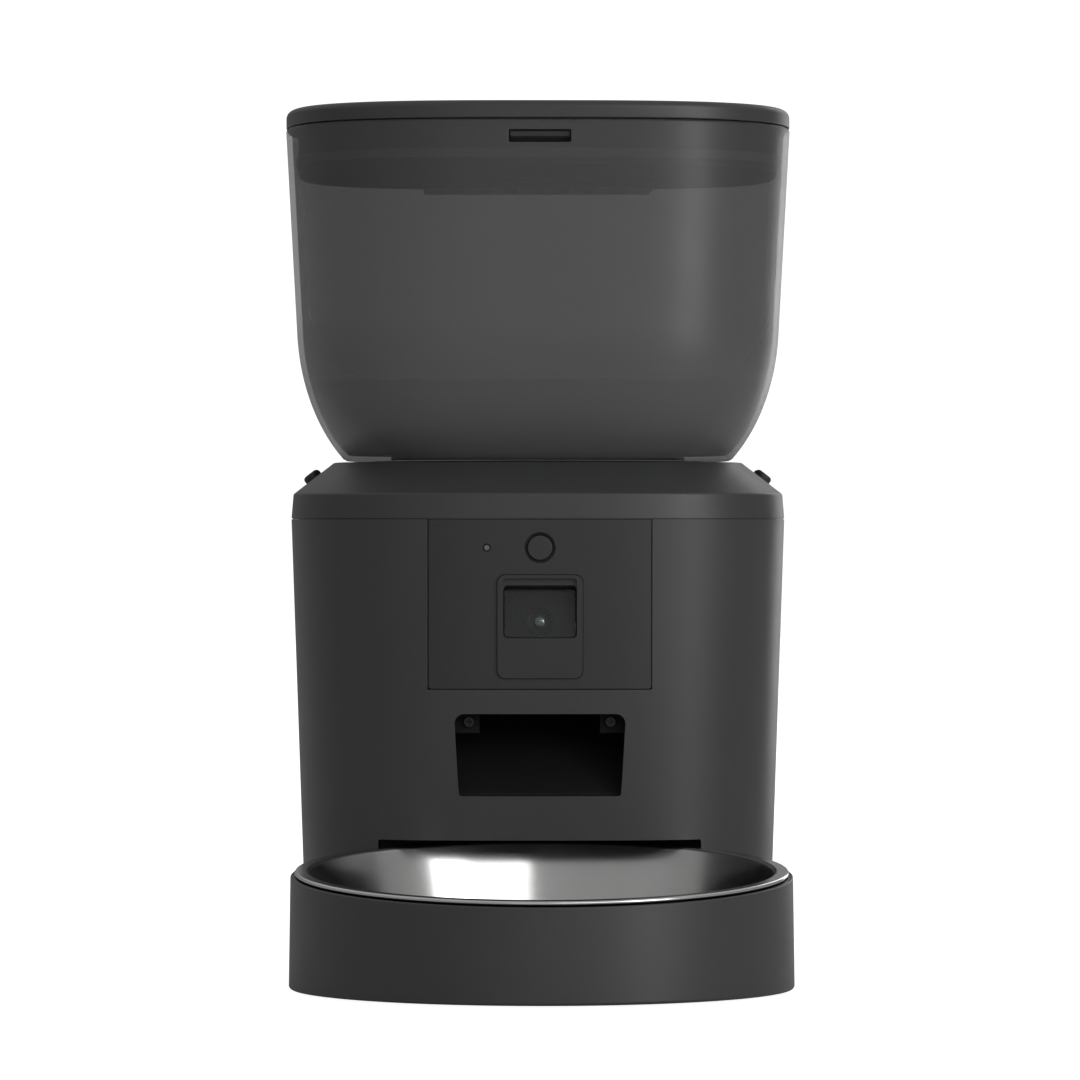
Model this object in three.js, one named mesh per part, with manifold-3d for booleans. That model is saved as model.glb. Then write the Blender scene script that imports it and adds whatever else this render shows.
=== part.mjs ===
// Automatic pet feeder: a rounded-square food tank on a motorised base, with a round tray and
// a steel bowl that nest into the front of the base. Millimetres, +Z up, front towards -Y,
// origin on the floor at the centre of the feeder's footprint.
import * as THREE from 'three';
import { mergeVertices } from 'three/addons/utils/BufferGeometryUtils.js';
import Module from 'manifold-3d';

// ---------------------------------------------------------------- driving dimensions
const GAP = 0.3;                 // clearance kept between neighbouring pieces
const SEGMENTS = 40;             // facets round the large shells
const SQUARENESS = 3.1;          // exponent of the rounded-square plan shape

const FOOT_HEIGHT = 2;
const HOUSING = { z0: 2, z1: 170, half0: 88.4, half1: 94.1, wall: 2.5 };
const COVER = {
  z0: 170.3, groove: 0.5, inset: 0.9, tongue: 2.5, bandTop: 179.5, top: 191.5,
  half0: 94.1, halfBand: 93.4, halfTop: 77.9, wall: 2.2,
};
const WELL = { r: 67.5, wall: 2, floor: 138.5, floorThick: 2, sides: 48 };
const TANK = {
  z0: 192.3, z1: 318, half: 96.1, draft: 0.054, wall: 2.2,
  tuckTop: 240, tuckLength: 60, tuckDepth: 39.5,
};
const LID = { z0: 318.4, z1: 325, half: 96, wall: 2, edge: 2 };
const SKIRT = { half: 91.5, wall: 1.8, bottom: 301 };
const HINGE = { y: 96.6, z: 318.2, pinR: 1.1, knuckleR: 2.6, lidHalf: 14, tankEnd: 24 };
const LATCH = { half: 11.2, z0: 309.7, z1: 313.8, front: 93.1, depth: 4 };

const REACH = 150.5;             // from the body's axis forward to the bowl's axis
const TRAY = { r0: 91.3, r1: 90.6, wall: 2.2, floor: 2.2, z0: 0.8, top: 41.5, tilt: 4.1 };
const BOWL = { rimR: 89.2, mouthR: 84.5, floorR: 62, depth: 32, sheet: 1.2, bead: 1.7 };
const DOCK = { r: 93.5, wall: 2, ceiling: 51, thick: 2, mouthHalf: 60, sides: 60 };

const PANEL = { half: 41.3, z0: 107.2, z1: 169.9, recess: 0.4, thick: 2 };
const BUTTON = { z: 159.5, r: 4.6, grooveR: 5.75, front: 93.1, back: 80.8 };
const LED = { x: -19.7, r: 1.2 };
const BEZEL = { half: 15.8, z0: 111.1, z1: 149.4, corner: 3, proud: 0.8, depth: 9 };
const WINDOW = { half: 13.3, length: 18.6, z: 135.2, y: 90.4, thick: 1.6, tilt: 14, corner: 1.5 };
const LENS = { r: 5.5, z: 132.8, length: 5 };
const OUTLET = { half: 31.85, z0: 67.4, z1: 97.9, corner: 4 };
const DROP = { half: 22, y0: -50, y1: -24 };

const CHAMBER = { r: 56.5, wall: 2, z0: 142, floor: 2.2, flangeR: 65, z1: 192 };
const ROTOR = { r: 55.5, hubR: 10, vanes: 6, vane: 2, z0: 146, z1: 180 };
const DOG = { flats: 10, play: 0.3, top: 156, socket: 158 };
const GEAR = { module: 1, wheel: 30, pinion: 12, z0: 106, z1: 116 };
const GEARBOX = { half: 20, y0: -18.4, y1: 30, z0: 102, z1: 121, wall: 1.5, cover: 2 };
const CELL = { r: 16.8, length: 60, pitch: 34.4, z: 23.5, y: 6 };
const BATTERY_BOX = { half: 55, y0: -33, y1: 45, z0: 5.6, z1: 43.5, wall: 1.5 };
const BATTERY_DOOR = { half: 50, y0: -30, y1: 42, travel: 6 };
const RELEASE = { length: 24, width: 6.8, proud: 2.6, stem: 7, travel: 2.2 };

const REAR = HINGE.y + HINGE.knuckleR;
const BODY_Y = (REACH + TRAY.r0 - REAR) / 2;
const BOWL_Y = BODY_Y - REACH;

// ---------------------------------------------------------------- solids and booleans
const wasm = await Module();
wasm.setup();

// A closed three.js geometry as a solid: shared vertices merged, slivers dropped, faces outward.
function solid(geometry) {
  const bare = geometry.clone();
  bare.deleteAttribute('normal');
  bare.deleteAttribute('uv');
  const merged = mergeVertices(bare, 1e-4);
  const position = merged.attributes.position;
  const corner = [new THREE.Vector3(), new THREE.Vector3(), new THREE.Vector3()];
  const triangles = [];
  let volume = 0;
  for (let i = 0; i < merged.index.count; i += 3) {
    const ids = [0, 1, 2].map((k) => merged.index.getX(i + k));
    if (ids[0] === ids[1] || ids[1] === ids[2] || ids[2] === ids[0]) continue;
    ids.forEach((id, k) => corner[k].fromBufferAttribute(position, id));
    volume += corner[0].dot(corner[1].clone().cross(corner[2]));
    triangles.push(ids);
  }
  if (volume < 0) triangles.forEach((ids) => ids.reverse());
  const vertProperties = new Float32Array(position.array);
  const triVerts = new Uint32Array(triangles.flat());
  return new wasm.Manifold(new wasm.Mesh({ numProp: 3, vertProperties, triVerts }));
}

function geometryOf(manifold) {
  const { vertProperties, triVerts } = manifold.getMesh();
  const geometry = new THREE.BufferGeometry();
  geometry.setAttribute('position', new THREE.BufferAttribute(vertProperties, 3));
  geometry.setIndex(new THREE.BufferAttribute(triVerts, 1));
  geometry.computeVertexNormals();
  return geometry;
}

const join = (first, ...rest) => rest.reduce((whole, piece) => whole.add(piece), first);
const cut = (first, ...rest) => rest.reduce((whole, tool) => whole.subtract(tool), first);

// ---------------------------------------------------------------- shape builders
function box(x0, x1, y0, y1, z0, z1) {
  const geometry = new THREE.BoxGeometry(x1 - x0, y1 - y0, z1 - z0);
  return solid(geometry.translate((x0 + x1) / 2, (y0 + y1) / 2, (z0 + z1) / 2));
}

// A cylinder along Z from z0 to z1.
function rod(radius, z0, z1, x = 0, y = 0, sides = 24) {
  const geometry = new THREE.CylinderGeometry(radius, radius, z1 - z0, sides).rotateX(Math.PI / 2);
  return solid(geometry.translate(x, y, (z0 + z1) / 2));
}

// A cylinder along Y from y0 to y1.
function rodY(radius, y0, y1, x, z, sides = 20) {
  const geometry = new THREE.CylinderGeometry(radius, radius, y1 - y0, sides);
  return solid(geometry.translate(x, (y0 + y1) / 2, z));
}

// A cylinder along X from x0 to x1.
function rodX(radius, x0, x1, y, z, sides = 20) {
  const geometry = new THREE.CylinderGeometry(radius, radius, x1 - x0, sides).rotateZ(Math.PI / 2);
  return solid(geometry.translate((x0 + x1) / 2, y, z));
}

// A round turned piece from [radius, z] points.
function turned(profile, segments = SEGMENTS) {
  const points = profile.map(([radius, z]) => new THREE.Vector2(radius, z));
  return new THREE.LatheGeometry(points, segments).rotateX(Math.PI / 2);
}

// The same, squared up in plan: each radius is the half-width of a rounded square.
function squared(profile) {
  const geometry = turned(profile);
  const position = geometry.attributes.position;
  for (let i = 0; i < position.count; i += 1) {
    const x = position.getX(i);
    const y = position.getY(i);
    const angle = Math.atan2(y, x);
    const sum = Math.abs(Math.cos(angle)) ** SQUARENESS + Math.abs(Math.sin(angle)) ** SQUARENESS;
    const stretch = sum ** (-1 / SQUARENESS);
    position.setXY(i, x * stretch, y * stretch);
  }
  return solid(geometry);
}

const closed = (profile) => [...profile, profile[0]];

// An upright rounded rectangle in the XZ plane, extruded along Y from y0 to y1.
function roundedPlate(half, z0, z1, corner, y0, y1) {
  const shape = new THREE.Shape();
  shape.moveTo(-half + corner, z0);
  shape.lineTo(half - corner, z0);
  shape.absarc(half - corner, z0 + corner, corner, -Math.PI / 2, 0);
  shape.lineTo(half, z1 - corner);
  shape.absarc(half - corner, z1 - corner, corner, 0, Math.PI / 2);
  shape.lineTo(-half + corner, z1);
  shape.absarc(-half + corner, z1 - corner, corner, Math.PI / 2, Math.PI);
  shape.lineTo(-half, z0 + corner);
  shape.absarc(-half + corner, z0 + corner, corner, Math.PI, Math.PI * 1.5);
  const settings = { depth: y1 - y0, bevelEnabled: false, curveSegments: 5 };
  const geometry = new THREE.ExtrudeGeometry(shape, settings);
  return solid(geometry.rotateX(Math.PI / 2).translate(0, y1, 0));
}

// A side profile of [y, z] points, extruded along X over +-half.
function sideExtrusion(profile, half) {
  const shape = new THREE.Shape(profile.map(([y, z]) => new THREE.Vector2(y, z)));
  const geometry = new THREE.ExtrudeGeometry(shape, { depth: 2 * half, bevelEnabled: false });
  geometry.rotateY(Math.PI / 2).rotateX(Math.PI / 2);
  return solid(geometry.translate(-half, 0, 0));
}

// A coil spring along +Z from the origin, made of round wire.
function coil(radius, wire, length, turns) {
  const points = [];
  const steps = turns * 8;
  for (let i = 0; i <= steps; i += 1) {
    const angle = (i / 8) * 2 * Math.PI;
    points.push(new THREE.Vector3(radius * Math.cos(angle), radius * Math.sin(angle), (i / steps) * length));
  }
  const section = new THREE.Shape().absarc(0, 0, wire, 0, 2 * Math.PI);
  const path = new THREE.CatmullRomCurve3(points);
  const options = { steps, bevelEnabled: false, extrudePath: path, curveSegments: 2 };
  return new THREE.ExtrudeGeometry(section, options);
}

// A spur gear outline with straight-flanked teeth, thinned a little so that meshed gears run free.
function gearShape(teeth, module, turn) {
  const pitchR = (teeth * module) / 2;
  const step = (2 * Math.PI) / teeth;
  const rows = [[pitchR - 1.2 * module, 0.3], [pitchR, 0.21], [pitchR + 0.95 * module, 0.1]];
  const shape = new THREE.Shape();
  for (let tooth = 0; tooth < teeth; tooth += 1) {
    const flank = [...rows.map(([r, w]) => [r, -w]), ...rows.toReversed().map(([r, w]) => [r, w])];
    flank.forEach(([radius, width], i) => {
      const angle = turn + (tooth + width) * step;
      const place = [radius * Math.cos(angle), radius * Math.sin(angle)];
      if (tooth === 0 && i === 0) shape.moveTo(...place);
      else shape.lineTo(...place);
    });
  }
  return shape;
}

function gearBlank(teeth, turn) {
  const shape = gearShape(teeth, GEAR.module, turn);
  const geometry = new THREE.ExtrudeGeometry(shape, { depth: GEAR.z1 - GEAR.z0, bevelEnabled: false });
  return solid(geometry.translate(0, 0, GEAR.z0));
}

function hexRod(flats, z0, z1) {
  return rod(flats / Math.sqrt(3), z0, z1, 0, 0, 6);
}

// ---------------------------------------------------------------- finishes
function finish(color, roughness, metalness = 0) {
  return new THREE.MeshStandardMaterial({ color, roughness, metalness });
}

const MATT_BLACK = finish(0x2b2c2d, 0.6);
const PANEL_BLACK = finish(0x232425, 0.5);
const SMOKED = finish(0x3c3d3f, 0.35);
const GLOSS_BLACK = finish(0x111214, 0.1);
const INNER_BLACK = finish(0x161617, 0.7);
const STEEL = finish(0xc4c6c8, 0.2, 1);
const RUBBER = finish(0x1b1b1b, 0.9);
const WHITE_PLASTIC = finish(0xe6e4de, 0.5);
const SILICONE = finish(0xd8d8d8, 0.6);
const BOARD = finish(0x1f5a35, 0.6);
const BRASS = finish(0xb08d3c, 0.35, 1);

// ---------------------------------------------------------------- the groups that hold the pieces
const feeder = new THREE.Group();
const body = new THREE.Group();
body.position.set(0, BODY_Y, 0);
const front = new THREE.Group();
front.position.set(0, BOWL_Y, 0);
feeder.add(body, front);

function add(group, name, material, shape) {
  const mesh = new THREE.Mesh(shape.isBufferGeometry ? shape : geometryOf(shape), material);
  mesh.name = name;
  group.add(mesh);
  return mesh;
}

// ---------------------------------------------------------------- base housing
const housingSlope = (HOUSING.half1 - HOUSING.half0) / (HOUSING.z1 - HOUSING.z0);
const housingHalf = (z) => HOUSING.half0 + housingSlope * (z - HOUSING.z0);

// The housing's wall between two depths below its outer skin.
function housingSkin(outer, inner, z0, z1) {
  const outside = [[housingHalf(z0) - outer, z0], [housingHalf(z1) - outer, z1]];
  const inside = [[housingHalf(z1) - inner, z1], [housingHalf(z0) - inner, z0]];
  return squared(closed([...outside, ...inside]));
}

function housingShell() {
  const far = 120;
  const sill = 10;
  const panelHole = box(-PANEL.half - GAP, PANEL.half + GAP, -far, 0, PANEL.z0 - GAP, far * 2);
  const outletHole = roundedPlate(OUTLET.half, OUTLET.z0, OUTLET.z1, OUTLET.corner, -far, 0);
  const trayMouth = box(-DOCK.mouthHalf, DOCK.mouthHalf, -far, 0, -1, DOCK.ceiling);
  const socketHole = rodY(4.5, 0, far, SOCKET.x, SOCKET.z);
  const slots = [-2, -1, 0, 1, 2].map((row) => {
    const z = SPEAKER.z + row * SPEAKER.slotPitch;
    return box(-sill, sill, 0, far, z - SPEAKER.slot / 2, z + SPEAKER.slot / 2);
  });
  const shell = housingSkin(0, HOUSING.wall, HOUSING.z0, HOUSING.z1);
  return cut(shell, panelHole, outletHole, trayMouth, socketHole, ...slots);
}

const SOCKET = { x: 42, z: 22, half: 6, depth: 13, face: 80.9 };
const SPEAKER = { z: 95, r: 18, depth: 8, slot: 2, slotPitch: 5 };
add(body, 'housing_shell', MATT_BLACK, housingShell());

// The curved pocket behind the tray: a round wall about the bowl's axis under a flat ceiling.
function trayDock() {
  const z0 = HOUSING.z0 + GAP;
  const block = rod(DOCK.r + DOCK.wall, z0, DOCK.ceiling + DOCK.thick, 0, -REACH, DOCK.sides);
  const hollow = rod(DOCK.r, z0 - 1, DOCK.ceiling, 0, -REACH, DOCK.sides);
  const inset = HOUSING.wall + GAP;
  const room = [[0, z0 - 1], [housingHalf(z0) - inset, z0 - 1], [housingHalf(60) - inset, 60], [0, 60]];
  return cut(block, hollow).intersect(squared(room));
}
add(body, 'tray_dock', INNER_BLACK, trayDock());

const PLATE = { z0: 2.3, z1: 4.8, inset: HOUSING.wall + GAP };
function basePlate() {
  const half = HOUSING.half0 - PLATE.inset;
  const plate = squared([[0, PLATE.z0], [half, PLATE.z0], [half, PLATE.z1], [0, PLATE.z1]]);
  const pocket = rod(DOCK.r + DOCK.wall + GAP, 0, 10, 0, -REACH, DOCK.sides);
  const { half: doorHalf, y0, y1, travel } = BATTERY_DOOR;
  const doorway = box(-doorHalf - GAP, doorHalf + GAP, y0 - GAP, y1 + travel + GAP, 0, 10);
  return cut(plate, pocket, doorway);
}
add(body, 'base_plate', INNER_BLACK, basePlate());

const FOOT_SPOTS = [
  ['front_left', -70, -48], ['front_right', 70, -48],
  ['rear_left', -62, 62], ['rear_right', 62, 62],
];
FOOT_SPOTS.forEach(([place, x, y]) => add(body, `foot_${place}`, RUBBER, rod(8, 0, FOOT_HEIGHT, x, y, 24)));

// ---------------------------------------------------------------- top cover with the tank's well
const slopeRun = COVER.halfBand - COVER.halfTop;
const slopeRise = COVER.top - COVER.bandTop;
const SLOPE_ANGLE = Math.atan2(slopeRise, slopeRun);

// Turns a piece made along +Z, at the origin, to stand square on the side slope.
function onSlope(shape, side) {
  const x = side * (COVER.halfBand + COVER.halfTop) / 2;
  const z = (COVER.bandTop + COVER.top) / 2;
  const degrees = side * THREE.MathUtils.radToDeg(SLOPE_ANGLE);
  return shape.rotate([0, degrees, 0]).translate([x, 0, z]);
}

function coverShell() {
  const { z0, groove, inset, tongue, half0, halfBand, halfTop, bandTop, top, wall } = COVER;
  const tongueOut = half0 - HOUSING.wall - GAP;
  const tongueIn = tongueOut - 1.5;
  const ledge = half0 - inset;
  const lip = 60;
  const joint = [[tongueIn, z0 - tongue], [tongueOut, z0 - tongue], [tongueOut, z0], [ledge, z0]];
  const outside = [[ledge, z0 + groove], [half0, z0 + groove], [halfBand, bandTop], [halfTop, top]];
  const underside = [[lip, top], [lip, top - wall], [halfTop - 1, top - wall]];
  const inside = [[halfBand - wall, bandTop - 0.8], [tongueIn, bandTop - 5]];
  const skin = squared(closed([...joint, ...outside, ...underside, ...inside]));
  const well = rod(WELL.r + WELL.wall, WELL.floor - WELL.floorThick, top - 1, 0, 0, WELL.sides);
  const hollow = rod(WELL.r, WELL.floor, top + 1, 0, 0, WELL.sides);
  const dropHole = box(-DROP.half, DROP.half, DROP.y0, DROP.y1, 100, 150);
  const shaftHole = rod(7, 100, 150);
  return cut(join(skin, well), hollow, dropHole, shaftHole);
}

function releaseHole(side) {
  return onSlope(releasePill(GAP, -9, 4), side);
}

// A rounded bar along Y: the release button's outline, grown by a margin.
function releasePill(margin, z0, z1) {
  const half = RELEASE.length / 2 + margin;
  const radius = RELEASE.width / 2 + margin;
  const straight = box(-radius, radius, -half + radius, half - radius, z0, z1);
  const ends = [-1, 1].map((end) => rod(radius, z0, z1, 0, end * (half - radius), 20));
  return join(straight, ...ends);
}

const SPRING_SEAT = { top: -14.5, thick: 2, half: 5 };
function springSeat(side) {
  const { top, thick, half } = SPRING_SEAT;
  const inward = side > 0 ? [-13, 4] : [-4, 13];
  return onSlope(box(...inward, -half, half, top - thick, top), side);
}

function topCover() {
  const seats = [-1, 1].map((side) => springSeat(side).subtract(rod(WELL.r, 100, 200, 0, 0, WELL.sides)));
  return cut(join(coverShell(), ...seats), releaseHole(-1), releaseHole(1));
}
add(body, 'top_cover', MATT_BLACK, topCover());

// Pressing either button in along the slope's normal frees the tank.
function releaseButton(side) {
  const pill = releasePill(0, -RELEASE.stem, RELEASE.proud);
  const flange = box(-4.6, 4.6, -13, 13, -RELEASE.stem - 1.2, -RELEASE.stem);
  return onSlope(join(pill, flange), side);
}

const SIDES = [['left', -1], ['right', 1]];
SIDES.forEach(([name, side]) => {
  add(body, `release_button_${name}`, MATT_BLACK, releaseButton(side));
  const spring = solid(coil(2.4, 0.35, 2.9, 3)).translate([0, 0, SPRING_SEAT.top + 0.7]);
  add(body, `release_spring_${name}`, STEEL, onSlope(spring, side));
});

// ---------------------------------------------------------------- front panel, button and camera
function frontPanel() {
  const skin = housingSkin(PANEL.recess, PANEL.recess + PANEL.thick, 100, PANEL.z1);
  const outline = box(-PANEL.half, PANEL.half, -120, 0, PANEL.z0, 200);
  const buttonHole = rodY(BUTTON.grooveR, -120, 0, 0, BUTTON.z);
  const ledHole = rodY(LED.r + GAP, -120, 0, LED.x, BUTTON.z, 16);
  const cameraHole = roundedPlate(BEZEL.half + GAP, BEZEL.z0 - GAP, BEZEL.z1 + GAP, BEZEL.corner, -120, 0);
  return cut(skin.intersect(outline), buttonHole, ledHole, cameraHole);
}
add(body, 'front_panel', PANEL_BLACK, frontPanel());

function feedButton() {
  const stem = rodY(BUTTON.r, -BUTTON.front, -BUTTON.back, 0, BUTTON.z);
  const flange = rodY(7, -89.6, -88.2, 0, BUTTON.z);
  return join(stem, flange);
}
add(body, 'feed_button', PANEL_BLACK, feedButton());

// The window's own frame: a prism through the bezel, leaning back at the top.
function windowPrism(half, length, y0, y1, corner) {
  const plate = roundedPlate(half, -length / 2, length / 2, corner, y0, y1);
  return plate.rotate([-WINDOW.tilt, 0, 0]).translate([0, -WINDOW.y, WINDOW.z]);
}

function cameraBezel() {
  const block = roundedPlate(BEZEL.half, BEZEL.z0, BEZEL.z1, BEZEL.corner, -100, -93.2 + BEZEL.depth);
  const skin = housingSkin(-BEZEL.proud, BEZEL.depth + 4, 100, 160);
  const pocket = windowPrism(WINDOW.half + GAP, WINDOW.length + 2 * GAP, -15, 20, WINDOW.corner);
  return block.intersect(skin).subtract(pocket);
}
add(body, 'camera_bezel', PANEL_BLACK, cameraBezel());

const windowBack = WINDOW.thick / 2;
const windowPane = windowPrism(WINDOW.half, WINDOW.length, -windowBack, windowBack, WINDOW.corner);
add(body, 'camera_window', GLOSS_BLACK, windowPane);

function cameraLens() {
  const drop = LENS.z - WINDOW.z;
  const barrel = rodY(LENS.r, windowBack + GAP, windowBack + GAP + LENS.length, 0, drop);
  const nose = rodY(3, windowBack + GAP + LENS.length, windowBack + GAP + LENS.length + 2, 0, drop);
  return join(barrel, nose).rotate([-WINDOW.tilt, 0, 0]).translate([0, -WINDOW.y, WINDOW.z]);
}
add(body, 'camera_lens', GLOSS_BLACK, cameraLens());

// The control board stands behind the panel; the switch under the feed button is soldered to it.
const CONTROL = { y: -75.6, thick: 1.6, half: 37, z0: 117, z1: 166 };
function controlBoard() {
  const { y, thick, half, z0, z1 } = CONTROL;
  return box(-half, half, y, y + thick, z0, z1);
}
add(body, 'control_board', BOARD, controlBoard());
add(body, 'button_switch', INNER_BLACK, box(-3, 3, -79.2, CONTROL.y - GAP, BUTTON.z - 3, BUTTON.z + 3));
add(body, 'status_led', WHITE_PLASTIC, rodY(LED.r, -92.8, CONTROL.y - GAP, LED.x, BUTTON.z, 16));

// ---------------------------------------------------------------- food outlet
// A duct that falls steeply from below the drop hole to the mouth in the front wall.
const CHUTE = { half: 31.4, wall: 2, mouthY: -86.1, screwX: 26.3, screwZ: 94.8 };
function outletChute() {
  const { mouthY, wall, half } = CHUTE;
  const topZ = WELL.floor - WELL.floorThick - GAP;
  const inner = [
    [mouthY - 5, 63.5], [-21.5, 132], [-21.5, topZ + 5],
    [-54, topZ + 5], [-54, 132], [mouthY - 5, 99.5],
  ];
  const outer = [
    [mouthY, 65.6], [-19.5, 130.5], [-19.5, topZ],
    [-56, topZ], [-56, 132.5], [mouthY, 103.5],
  ];
  const duct = cut(sideExtrusion(outer, half + wall), sideExtrusion(inner, half));
  const tabs = [-1, 1].map((side) => {
    const ends = [side * (CHUTE.screwX - 4), side * (half + 0.5)];
    const tab = box(Math.min(...ends), Math.max(...ends), -83, -81, 90.5, 103);
    return tab.subtract(rodY(1.6, -90, -70, side * CHUTE.screwX, CHUTE.screwZ, 12));
  });
  return join(duct, ...tabs);
}
add(body, 'outlet_chute', INNER_BLACK, outletChute());

SIDES.forEach(([name, side]) => {
  const x = side * CHUTE.screwX;
  const head = rodY(2.3, -84.6, -83.3, x, CHUTE.screwZ, 16);
  const shank = rodY(1.2, -83.5, -78, x, CHUTE.screwZ, 12);
  add(body, `chute_screw_${name}`, STEEL, join(head, shank));
});

// ---------------------------------------------------------------- rotor drive
const gearDistance = ((GEAR.wheel + GEAR.pinion) * GEAR.module) / 2;
function driveGear() {
  const wheel = gearBlank(GEAR.wheel, Math.PI / 2);
  const shaft = rod(3, GEARBOX.z0 - 1.5, WELL.floor - 4);
  const dog = hexRod(DOG.flats, WELL.floor - 6, DOG.top);
  return join(wheel, shaft, dog);
}
add(body, 'drive_gear', WHITE_PLASTIC, driveGear());

function motorPinion() {
  const halfTooth = Math.PI / GEAR.pinion;
  const wheel = gearBlank(GEAR.pinion, -Math.PI / 2 + halfTooth).subtract(rod(1.5, 0, 200, 0, 0, 16));
  return wheel.translate([0, gearDistance, 0]);
}
add(body, 'motor_pinion', BRASS, motorPinion());

function gearboxBase() {
  const { half, y0, y1, z0, z1, wall } = GEARBOX;
  const room = box(-half + wall, half - wall, y0 + wall, y1 - wall, z0 + wall, z1 + 1);
  const cup = cut(box(-half, half, y0, y1, z0, z1), room);
  return cut(cup, rod(3.3, 90, 110), rod(3, 90, 110, 0, gearDistance));
}
add(body, 'gearbox_base', INNER_BLACK, gearboxBase());

function gearboxCover() {
  const { half, y0, y1, z1, cover } = GEARBOX;
  return cut(box(-half, half, y0, y1, z1 + GAP, z1 + GAP + cover), rod(3.3, 100, 140));
}
add(body, 'gearbox_cover', INNER_BLACK, gearboxCover());

function gearMotor() {
  const can = rod(12, 62, GEARBOX.z0 - GAP, 0, gearDistance);
  const shaft = rod(1.2, GEARBOX.z0 - 2, GEAR.z1 + 1, 0, gearDistance, 16);
  const rearCap = rod(5, 60, 63, 0, gearDistance);
  return join(can, shaft, rearCap);
}
add(body, 'gear_motor', STEEL, gearMotor());

// ---------------------------------------------------------------- batteries and power
function batteryBox() {
  const { half, y0, y1, z0, z1, wall } = BATTERY_BOX;
  const room = box(-half + wall, half - wall, y0 + wall, y1 - wall, z0 - 1, z1 - wall);
  return cut(box(-half, half, y0, y1, z0, z1), room);
}
add(body, 'battery_box', INNER_BLACK, batteryBox());

[-1, 0, 1].forEach((row, i) => {
  const x = row * CELL.pitch;
  const y0 = CELL.y - CELL.length / 2;
  const y1 = CELL.y + CELL.length / 2;
  const can = rodY(CELL.r, y0, y1 - 1.5, x, CELL.z);
  const cap = rodY(5, y0 - 1.5, y1 - 1.5, x, CELL.z, 20);
  add(body, `battery_${i + 1}`, STEEL, join(can, cap));
  const spring = coil(5, 0.5, 4.5, 3).rotateX(-Math.PI / 2).translate(x, y1 - 0.5, CELL.z);
  add(body, `contact_spring_${i + 1}`, STEEL, solid(spring));
});

function batteryDoor() {
  const { half, y0, y1 } = BATTERY_DOOR;
  const plate = box(-half, half, y0, y1, PLATE.z0, PLATE.z1);
  const grips = [0, 1, 2].map((row) => box(-10, 10, y1 - 8 - row * 4, y1 - 6.5 - row * 4, 0, PLATE.z0 + 0.8));
  return cut(plate, ...grips);
}
add(body, 'battery_door', INNER_BLACK, batteryDoor());

function mainBoard() {
  const plate = box(-45, 45, -30, 52, 46.5, 48.1);
  const chips = [[-30, -10, 7], [-8, -16, 5], [22, -12, 8], [30, 30, 6], [-28, 32, 9]];
  const parts = chips.map(([x, y, half]) => box(x - half, x + half, y - half, y + half, 48, 50.5));
  return join(plate, ...parts);
}
add(body, 'main_board', BOARD, mainBoard());

function powerSocket() {
  const { x, z, half, depth, face: y1 } = SOCKET;
  const block = box(x - half, x + half, y1 - depth, y1, z - half, z + half);
  return join(cut(block, rodY(3.2, y1 - depth + 2, y1 + 1, x, z)), rodY(1, y1 - depth + 1, y1 - 2, x, z, 12));
}
add(body, 'power_socket', INNER_BLACK, powerSocket());

function speaker() {
  const y1 = housingHalf(SPEAKER.z) - HOUSING.wall - 2;
  const { r, depth, z } = SPEAKER;
  const frame = rodY(r, y1 - 3, y1, 0, z).subtract(rodY(r - 3, y1 - 2, y1 + 1, 0, z));
  return join(frame, rodY(r / 2, y1 - depth, y1 - 2.5, 0, z, 24));
}
add(body, 'speaker', INNER_BLACK, speaker());

// ---------------------------------------------------------------- food tank
function tankHalf(z) {
  const draftLine = TANK.half - TANK.draft * (TANK.z1 - z);
  const down = Math.max(0, TANK.tuckTop - z) / TANK.tuckLength;
  return draftLine - TANK.tuckDepth * (1 - Math.sqrt(1 - down * down));
}

const TANK_LEVELS = [TANK.z0, 197, 204, 213, 224, TANK.tuckTop, TANK.z1];
const TANK_FLOOR = { hole: 56, thick: 2.2 };

function tankShell() {
  const outside = TANK_LEVELS.map((z) => [tankHalf(z), z]);
  const inside = TANK_LEVELS.slice(1).reverse().map((z) => [tankHalf(z) - TANK.wall, z]);
  const floorZ = TANK.z0 + TANK_FLOOR.thick;
  const { hole } = TANK_FLOOR;
  const foot = [[tankHalf(floorZ) - TANK.wall - 1, floorZ], [hole, floorZ], [hole, TANK.z0]];
  return squared(closed([...outside, ...inside, ...foot]));
}

function foodTank() {
  const latchWindow = box(-11.5, 11.5, -110, 0, 309.4, 314.1);
  const { y, z, pinR, knuckleR, lidHalf, tankEnd } = HINGE;
  const lidRoom = rodX(knuckleR + GAP, -lidHalf - GAP, lidHalf + GAP, y, z);
  const pinRoom = rodX(pinR + GAP, -tankEnd - 1, tankEnd + 1, y, z);
  const knuckles = SIDES.map(([, side]) => {
    const ends = [side * (lidHalf + GAP), side * tankEnd];
    const x0 = Math.min(...ends);
    const x1 = Math.max(...ends);
    return join(rodX(knuckleR, x0, x1, y, z), box(x0, x1, y - 4, y, z - knuckleR, z - 0.5));
  });
  const shell = cut(tankShell(), latchWindow, lidRoom);
  return cut(join(shell, ...knuckles), pinRoom, rimOpening());
}

// The tank's inner outline near the rim, which the hinge knuckles don't enter.
function rimOpening() {
  const z0 = 290;
  const z1 = TANK.z1 + 5;
  return squared([[0, z0], [tankHalf(z0) - TANK.wall, z0], [tankHalf(z1) - TANK.wall, z1], [0, z1]]);
}
add(body, 'food_tank', SMOKED, foodTank());

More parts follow.
